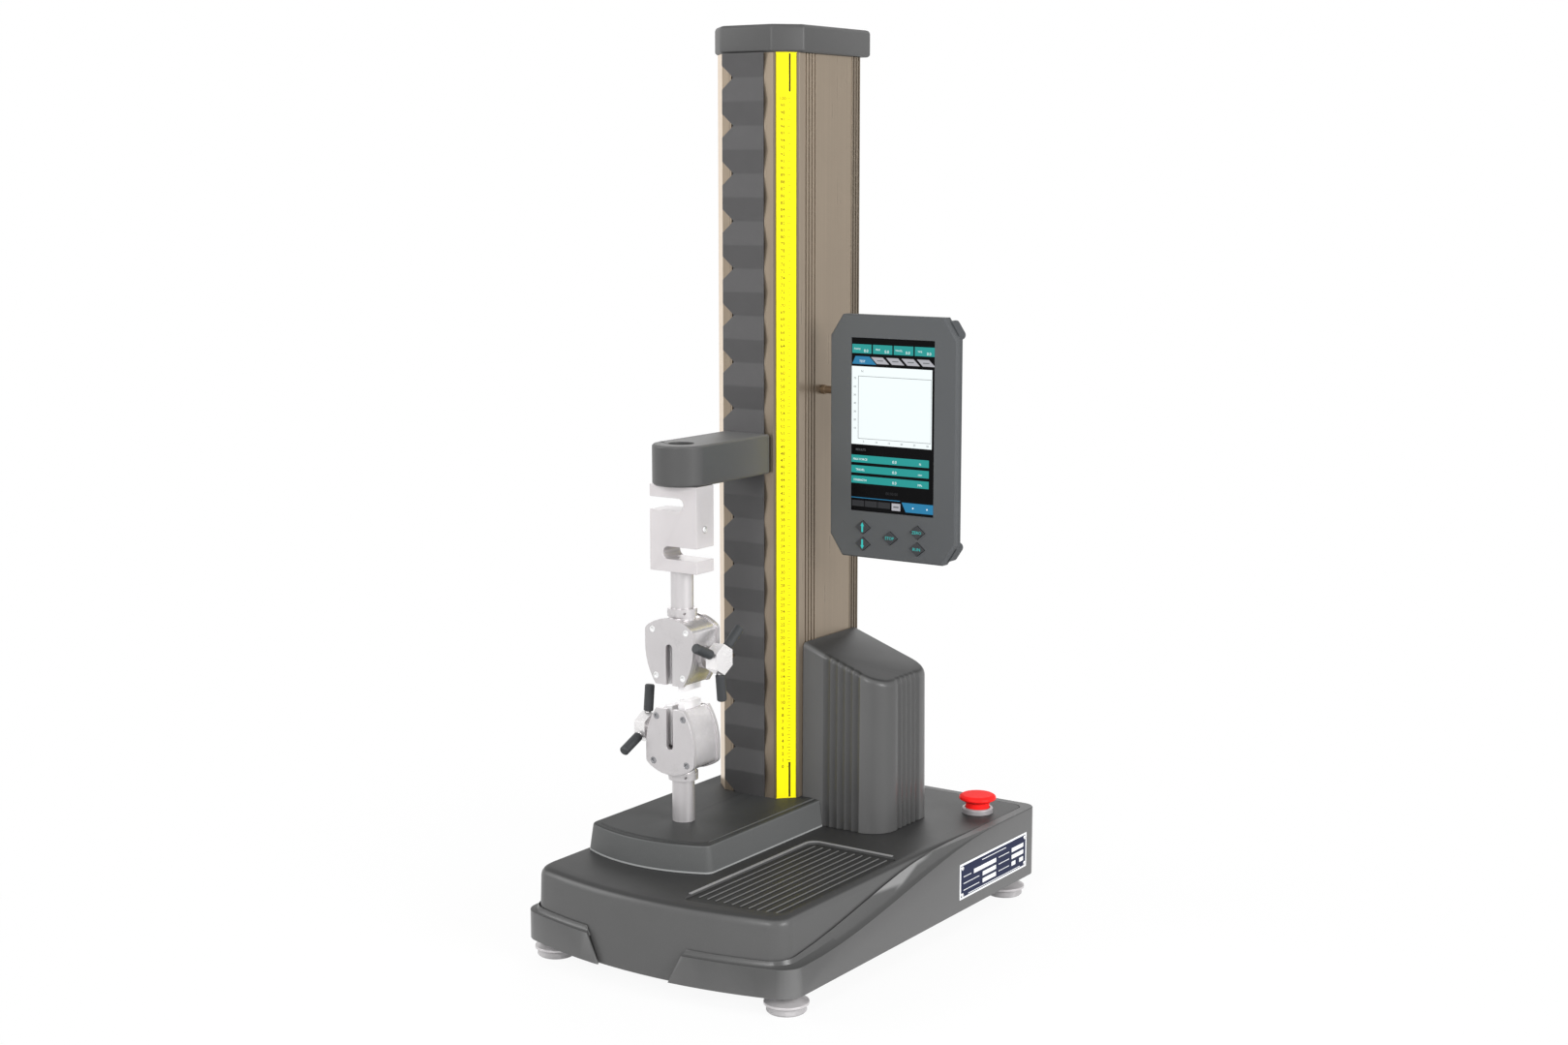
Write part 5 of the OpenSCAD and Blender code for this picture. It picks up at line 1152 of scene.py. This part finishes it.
@dataclass
class DisplayFace:
    """What the screen shows, and the signs on the keys."""

    proud: float = 0.06
    layers: dict[Paint, MeshHeap] = field(default_factory=dict)

    def __post_init__(self) -> None:
        """Finds the glass."""
        self.low, self.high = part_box("display_screen")

    def heap(self, paint: Paint) -> MeshHeap:
        """The heap of one finish."""
        return self.layers.setdefault(paint, MeshHeap())

    def spot(self, u: float, v: float, level: int) -> Vector:
        """A place on the glass from shares of its width, and of its height from the top."""
        x = self.low.x + (self.high.x - self.low.x) * u
        z = self.high.z - (self.high.z - self.low.z) * v
        return Vector((x, self.low.y - self.proud * MM * level, z))

    def area(self, paint: Paint, corners: Sequence[tuple[float, float]], level: int = 1) -> None:
        """Lights a flat area between corners given as shares."""
        outline = [self.spot(u, v, level) for u, v in corners]
        self.heap(paint).prism(outline, Vector((0, self.proud * MM * 0.8, 0)))

    def rect(self, paint: Paint, u0: float, v0: float, u1: float, v1: float, level: int = 1) -> None:
        """Lights a rectangle."""
        self.area(paint, [(u0, v1), (u1, v1), (u1, v0), (u0, v0)], level)

    def words(self, paint: Paint, text: str, u: float, v: float, height: float, level: int = 2) -> None:
        """Writes plain figures on the screen."""
        points, faces = lettering(text, height, 0.03)
        foot = self.spot(u, v, level)
        self.heap(paint).add([foot + Vector((p.x, -p.z, p.y)) for p in points], faces)

    def build(self) -> None:
        """Lights the screen and the keys."""
        self.readings()
        self.tabs()
        self.chart()
        self.results()
        for paint, heap in self.layers.items():
            name = "screen_" + paint.name.lower()
            new_piece(name, heap.mesh(name), paint, "display")
        self.keys()

    def readings(self) -> None:
        """Four boxes with live readings along the top."""
        for i, label in enumerate(("FORCE", "PEAK", "TRAVEL", "TIME")):
            left = 0.005 + i * 0.2533
            self.rect(Paint.LIT_TEAL, left, 0.036, left + 0.236, 0.088)
            self.words(Paint.LIT_WHITE, "0.0", left + 0.17, 0.081, 2.6)
            self.words(Paint.LIT_WHITE, label, left + 0.062, 0.068, 1.5)

    def tabs(self) -> None:
        """One blue tab and four grey ones."""
        self.area(Paint.LIT_BLUE, [(0.005, 0.15), (0.3, 0.15), (0.215, 0.105), (0.045, 0.105)])
        self.words(Paint.LIT_WHITE, "TEST", 0.13, 0.14, 2.0)
        for i in range(4):
            left = 0.235 + i * 0.185
            shape = [(left + 0.072, 0.145), (left + 0.222, 0.145), (left + 0.145, 0.107), (left, 0.107)]
            self.area(Paint.LIT_GREY, shape, 1 + i % 2)
            self.rect(Paint.LIT_LINE, left + 0.075, 0.124, left + 0.15, 0.129, 3)

    def chart(self) -> None:
        """An empty chart with its axes and the numbers along them."""
        self.rect(Paint.LIT_WHITE, 0.0, 0.163, 0.975, 0.613)
        left, right, top, foot = 0.08, 0.965, 0.218, 0.578
        line = 0.005
        for box in (
            (left, top, right, top + line / 2), (left, foot, right, foot + line / 2),
            (left, top, left + line, foot), (right - line / 2, top, right, foot),
        ):
            self.rect(Paint.LIT_LINE, *box, 2)
        self.words(Paint.LIT_LINE, "N", 0.13, 0.197, 2.0)
        for i in range(7):
            self.words(Paint.LIT_LINE, str(10 * (7 - i)), 0.04, top + 0.02 + i * 0.048, 1.8)
        for i in range(6):
            self.words(Paint.LIT_LINE, str(5 * (i + 1)), 0.15 + i * 0.155, 0.602, 1.8)

    def results(self) -> None:
        """Three result bars, and the row of controls at the foot."""
        self.words(Paint.LIT_LINE, "RESULTS", 0.115, 0.65, 1.9)
        for i, (label, unit) in enumerate((("MAX FORCE", "N"), ("TRAVEL", "mm"), ("STRENGTH", "MPa"))):
            top = 0.676 + i * 0.0605
            self.rect(Paint.LIT_TEAL, 0.0, top, 0.945, top + 0.043)
            self.words(Paint.LIT_WHITE, "0.0", 0.53, top + 0.034, 2.6)
            self.words(Paint.LIT_WHITE, label, 0.11, top + 0.03, 1.9)
            self.words(Paint.LIT_WHITE, unit, 0.84, top + 0.032, 1.9)
        self.words(Paint.LIT_DIM, "00:00:00", 0.5, 0.895, 2.6)
        self.area(Paint.LIT_BLUE, [(0.0, 0.926), (0.6, 0.926), (0.6, 0.922), (0.0, 0.922)])
        for u in (0.01, 0.17, 0.33):
            self.rect(Paint.LIT_DIM, u, 0.94, u + 0.15, 0.975)
        self.rect(Paint.LIT_GREY, 0.5, 0.94, 0.605, 0.982)
        self.rect(Paint.LIT_LINE, 0.52, 0.957, 0.585, 0.965, 2)
        self.area(Paint.LIT_BLUE, [(0.67, 0.985), (1.0, 0.985), (1.0, 0.93), (0.62, 0.93)])
        for u in (0.75, 0.92):
            self.rect(Paint.LIT_WHITE, u, 0.955, u + 0.015, 0.963, 2)

    def keys(self) -> None:
        """Arrows and words on the five keys."""
        for name, sign in (("up", 1), ("down", -1), ("stop", "STOP"), ("zero", "ZERO"), ("run", "RUN")):
            low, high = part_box("key_" + name)
            CadSkin("key_" + name, Paint.KEY, 0.3).build()
            centre = Vector(((low.x + high.x) / 2, low.y, (low.z + high.z) / 2))
            heap = MeshHeap()
            if isinstance(sign, str):
                points, faces = lettering(sign, 2.7, 0.08)
                heap.add([centre + Vector((p.x, -p.z, p.y - 1.3 * MM)) for p in points], faces)
            else:
                shape = [
                    (0, 4.6), (1.9, 1.2), (0.9, 1.2), (0.9, -4.2), (-0.9, -4.2), (-0.9, 1.2), (-1.9, 1.2)
                ]
                outline = [centre + Vector((x, -0.08, z * sign)) * MM for x, z in shape]
                heap.prism(outline, Vector((0, 0.08 * MM, 0)))
            new_piece(f"sign_{name}", heap.mesh("sign_" + name), Paint.LIT_KEY, "key_" + name)


# Euler angles that turn a screw's head to the rear, down and to the right
TO_REAR: Point = (-math.pi / 2, 0.0, 0.0)
TO_FLOOR: Point = (math.pi, 0.0, 0.0)
TO_RIGHT: Point = (0.0, math.pi / 2, 0.0)


@dataclass
class Fasteners:
    """Screws on the sides that the photograph doesn't show, and the bare rating plate."""

    repeat: Repeat
    plate: tuple[float, float, float, float] = (50.0, 176.0, 11.0, 44.0)
    plate_t: float = 0.5
    fields: tuple[tuple[float, float, float, float], ...] = (
        (0.2, 0.53, 0.3, 0.42), (0.33, 0.53, 0.5, 0.62), (0.33, 0.53, 0.7, 0.82),
        (0.77, 0.95, 0.26, 0.38), (0.77, 0.95, 0.46, 0.58), (0.77, 0.83, 0.66, 0.78),
        (0.89, 0.95, 0.66, 0.78), (0.32, 0.68, 0.14, 0.16), (0.05, 0.16, 0.37, 0.39),
        (0.05, 0.28, 0.56, 0.58), (0.05, 0.28, 0.75, 0.77), (0.57, 0.73, 0.32, 0.34),
        (0.57, 0.73, 0.52, 0.54), (0.57, 0.73, 0.72, 0.74), (0.12, 0.9, 0.9, 0.92),
    )

    def build(self) -> None:
        """Sets the screws and the plate."""
        self.display_screws()
        self.cell_plug()
        self.base_screws()
        self.rating_plate()

    def screws(
            self, name: str, form: bpy.types.Mesh, places: list[Vector], turn: Point, paint: Paint,
            body: str, slot: str) -> None:
        """Sets equal screws on places.

        Args:
            name: the piece's name
            form: mesh of one screw
            places: where they go
            turn: Euler angles of all of them
            paint: their finish
            body: the body that they ride on
            slot: their material slot; not used
        """
        self.repeat.make(name, form, places, [turn] * len(places), paint, body)

    def display_screws(self) -> None:
        """Four screws in the display's back."""
        low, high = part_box("display_housing")
        inset_x, inset_z = 24 * MM, 30 * MM
        face = at(0, 46, 0).y
        across, up = (low.x + inset_x, high.x - inset_x), (low.z + inset_z, high.z - inset_z)
        places = [Vector((x, face, z)) for x in across for z in up]
        form = screw_head(3.0, 1.6, 1.3)
        self.screws("display_screws", form, places, TO_REAR, Paint.SCREW_DARK, "display", "display_back")

    def cell_plug(self) -> None:
        """A bright blind plug in the load cell's side hole."""
        low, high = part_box("load_cell")
        place = Vector((high.x - 0.6 * MM, (low.y + high.y) / 2, (low.z + high.z) / 2))
        form, slot = screw_head(2.85, 0.9, 1.0), slot_of("load_cell")
        self.screws("cell_plug", form, [place], TO_RIGHT, Paint.SCREW_BRIGHT, "crosshead", slot)

    def base_screws(self) -> None:
        """Screws along the rear wall, beside the inlet and under the floor."""
        low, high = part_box("base_skirt")
        wide, level = high.x - low.x, at(0, 0, 30).z
        rear = [Vector((low.x + s * wide, high.y, level)) for s in (0.08, 0.36, 0.64)]
        form = screw_head(3.2, 1.5, 1.4)
        self.screws("rear_screws", form, rear, TO_REAR, Paint.SCREW_DARK, "stand", "skirt_shell")
        low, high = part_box("base_plate")
        wide, deep = high.x - low.x, high.y - low.y
        shares = [(a, b) for a in (0.2, 0.5, 0.8) for b in (0.12, 0.5, 0.93)]
        under = [Vector((low.x + a * wide, low.y + b * deep, low.z)) for a, b in shares]
        form = screw_head(4.0, 2.2, 1.8)
        self.screws("floor_screws", form, under, TO_FLOOR, Paint.SCREW_BRIGHT, "stand", "floor_steel")

    def rating_plate(self) -> None:
        """A plate with a pale border and empty fields, fixed by four rivets."""
        y0, y1, z0, z1 = self.plate
        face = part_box("base_skirt")[1].x
        for name, inset, proud, paint in (
            ("plate_border", 0.0, self.plate_t, Paint.WHITE_INK),
            ("plate_field", 1.8, self.plate_t + 0.08, Paint.PLATE_FIELD),
        ):
            heap = MeshHeap()
            corners = [
                (y0 + inset, z0 + inset), (y1 - inset, z0 + inset), (y1 - inset, z1 - inset),
                (y0 + inset, z1 - inset),
            ]
            outline = [Vector((face, at(0, y, 0).y, at(0, 0, z).z)) for y, z in corners]
            heap.prism(outline, Vector((proud * MM, 0, 0)))
            piece = new_piece("rating_" + name, heap.mesh(name), paint, "stand")
        fields = MeshHeap()
        for u0, u1, v0, v1 in self.fields:
            box = [(u0, v1), (u1, v1), (u1, v0), (u0, v0)]
            heights = [(y0 + u * (y1 - y0), z1 - v * (z1 - z0)) for u, v in box]
            outline = [Vector((face + self.plate_t * MM, at(0, y, 0).y, at(0, 0, z).z)) for y, z in heights]
            fields.prism(outline, Vector((0.16 * MM, 0, 0)))
        new_piece("rating_fields", fields.mesh("rating_fields"), Paint.WHITE_INK, "stand")
        spots = [(y, z) for y in (y0 + 4, y1 - 4) for z in (z0 + 4, z1 - 4)]
        rivets = [Vector((face + self.plate_t * MM, at(0, y, 0).y, at(0, 0, z).z)) for y, z in spots]
        form = screw_head(1.9, 0.9, 0.4)
        self.screws("plate_rivets", form, rivets, TO_RIGHT, Paint.SCREW_BRIGHT, "stand", "stud_steel")


@dataclass
class Studio:
    """Camera, lamps, floor and the white surroundings."""

    eye: Point = (1.110602, -1.641298, 0.6786)
    yaw: float = 34.172
    pitch: float = 8.796
    lens: float = 51.744
    ambient: float = 0.46
    shade_reach: float = 0.5

    def build(self) -> None:
        """Sets the studio up."""
        scene = bpy.context.scene
        scene.view_settings.view_transform = "Standard"
        data = bpy.data.cameras.new("camera")
        data.sensor_fit, data.sensor_width, data.lens = "HORIZONTAL", 36.0, self.lens
        data.clip_start, data.clip_end = 0.05, 50.0
        camera = bpy.data.objects.new("camera", data)
        camera.location = self.eye
        camera.rotation_euler = (math.radians(90 - self.pitch), 0.0, math.radians(self.yaw))
        scene.collection.objects.link(camera)
        scene.camera = camera
        self.world()
        self.floor()
        self.lamp("key", (0.5, -3.1, 1.7), 1.1, 50)
        self.lamp("left", (-2.4, -1.5, 1.5), 1.6, 36)
        self.lamp("right", (2.8, -0.4, 1.3), 1.3, 68)
        self.lamp("rear", (-1.2, 2.4, 1.6), 1.4, 14)

    def lamp(self, name: str, place: Point, size: float, watts: float) -> None:
        """Adds one square soft lamp that looks at the machine's middle."""
        data = bpy.data.lights.new(name, "AREA")
        data.size, data.energy = size, watts
        lamp = bpy.data.objects.new(name, data)
        lamp.location = place
        lamp.rotation_euler = (Vector((0, 0, 0.35)) - Vector(place)).to_track_quat("-Z", "Y").to_euler()
        bpy.context.scene.collection.objects.link(lamp)

    def world(self) -> None:
        """White surroundings: full white for the camera and in reflections, softer as light."""
        world = bpy.data.worlds.new("surroundings")
        world.use_nodes = True
        bpy.context.scene.world = world
        tree = world.node_tree
        sky = next(n for n in tree.nodes if n.type == "BACKGROUND")
        sky.inputs["Color"].default_value = (1, 1, 1, 1)
        path = tree.nodes.new("ShaderNodeLightPath")
        shown = path.outputs["Is Camera Ray"]
        for ray in ("Is Transmission Ray", "Is Glossy Ray"):
            either = tree.nodes.new("ShaderNodeMath")
            either.operation = "MAXIMUM"
            tree.links.new(shown, either.inputs[0])
            tree.links.new(path.outputs[ray], either.inputs[1])
            shown = either.outputs[0]
        level = tree.nodes.new("ShaderNodeMapRange")
        tree.links.new(shown, level.inputs[0])
        level.inputs[3].default_value, level.inputs[4].default_value = self.ambient, 1.0
        tree.links.new(level.outputs[0], sky.inputs["Strength"])

    def floor(self) -> None:
        """A pale floor that the camera sees as white, with a light shadow round the feet."""
        heap = MeshHeap()
        r = 12.0
        heap.add(
            [Vector((-r, -r, 0)), Vector((r, -r, 0)), Vector((r, r, 0)), Vector((-r, r, 0))], [[0, 1, 2, 3]])
        mesh = heap.mesh("floor")
        g = Graph("floor")
        g.surface(Base_Color=(0.9, 0.9, 0.9, 1), Roughness=0.6)
        glow = g.node("ShaderNodeEmission", None, {"Color": (1, 1, 1, 1), "Strength": 1.0})
        path = g.node("ShaderNodeLightPath")
        camera, glossy = Value(g, path.outputs["Is Camera Ray"]), Value(g, path.outputs["Is Glossy Ray"])
        seen = camera.math("MAXIMUM", camera, glossy)
        away = g.value("ShaderNodeVectorMath", {"operation": "LENGTH"}, {0: g.place()}, 1)
        share = away.above(self.shade_reach, 0.25) * 0.08 + 0.92
        blend = g.node(
            "ShaderNodeMixShader", None, {0: seen * share, 1: g.shader.outputs[0], 2: glow.outputs[0]})
        end = next(n for n in g.tree.nodes if n.type == "OUTPUT_MATERIAL")
        g.tree.links.new(blend.outputs[0], end.inputs["Surface"])
        floor = bpy.data.objects.new("floor", mesh)
        mesh.materials.append(g.material)
        bpy.context.scene.collection.objects.link(floor)


def main() -> None:
    """Builds the studio and every sub-assembly in order."""
    logging.basicConfig(level=logging.INFO, format="%(message)s")
    for spare in list(bpy.data.objects):
        if spare.type in {"CAMERA", "LIGHT"} or spare.name == "Cube":
            bpy.data.objects.remove(spare)
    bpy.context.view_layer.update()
    Studio().build()
    Shells().build()
    Grips().build()
    SlotCovers().build()
    repeat = Repeat()
    Scale(repeat).build()
    DisplayFace().build()
    Fasteners(repeat).build()
    log.info("boxes written")


if __name__ == "__main__":
    main()
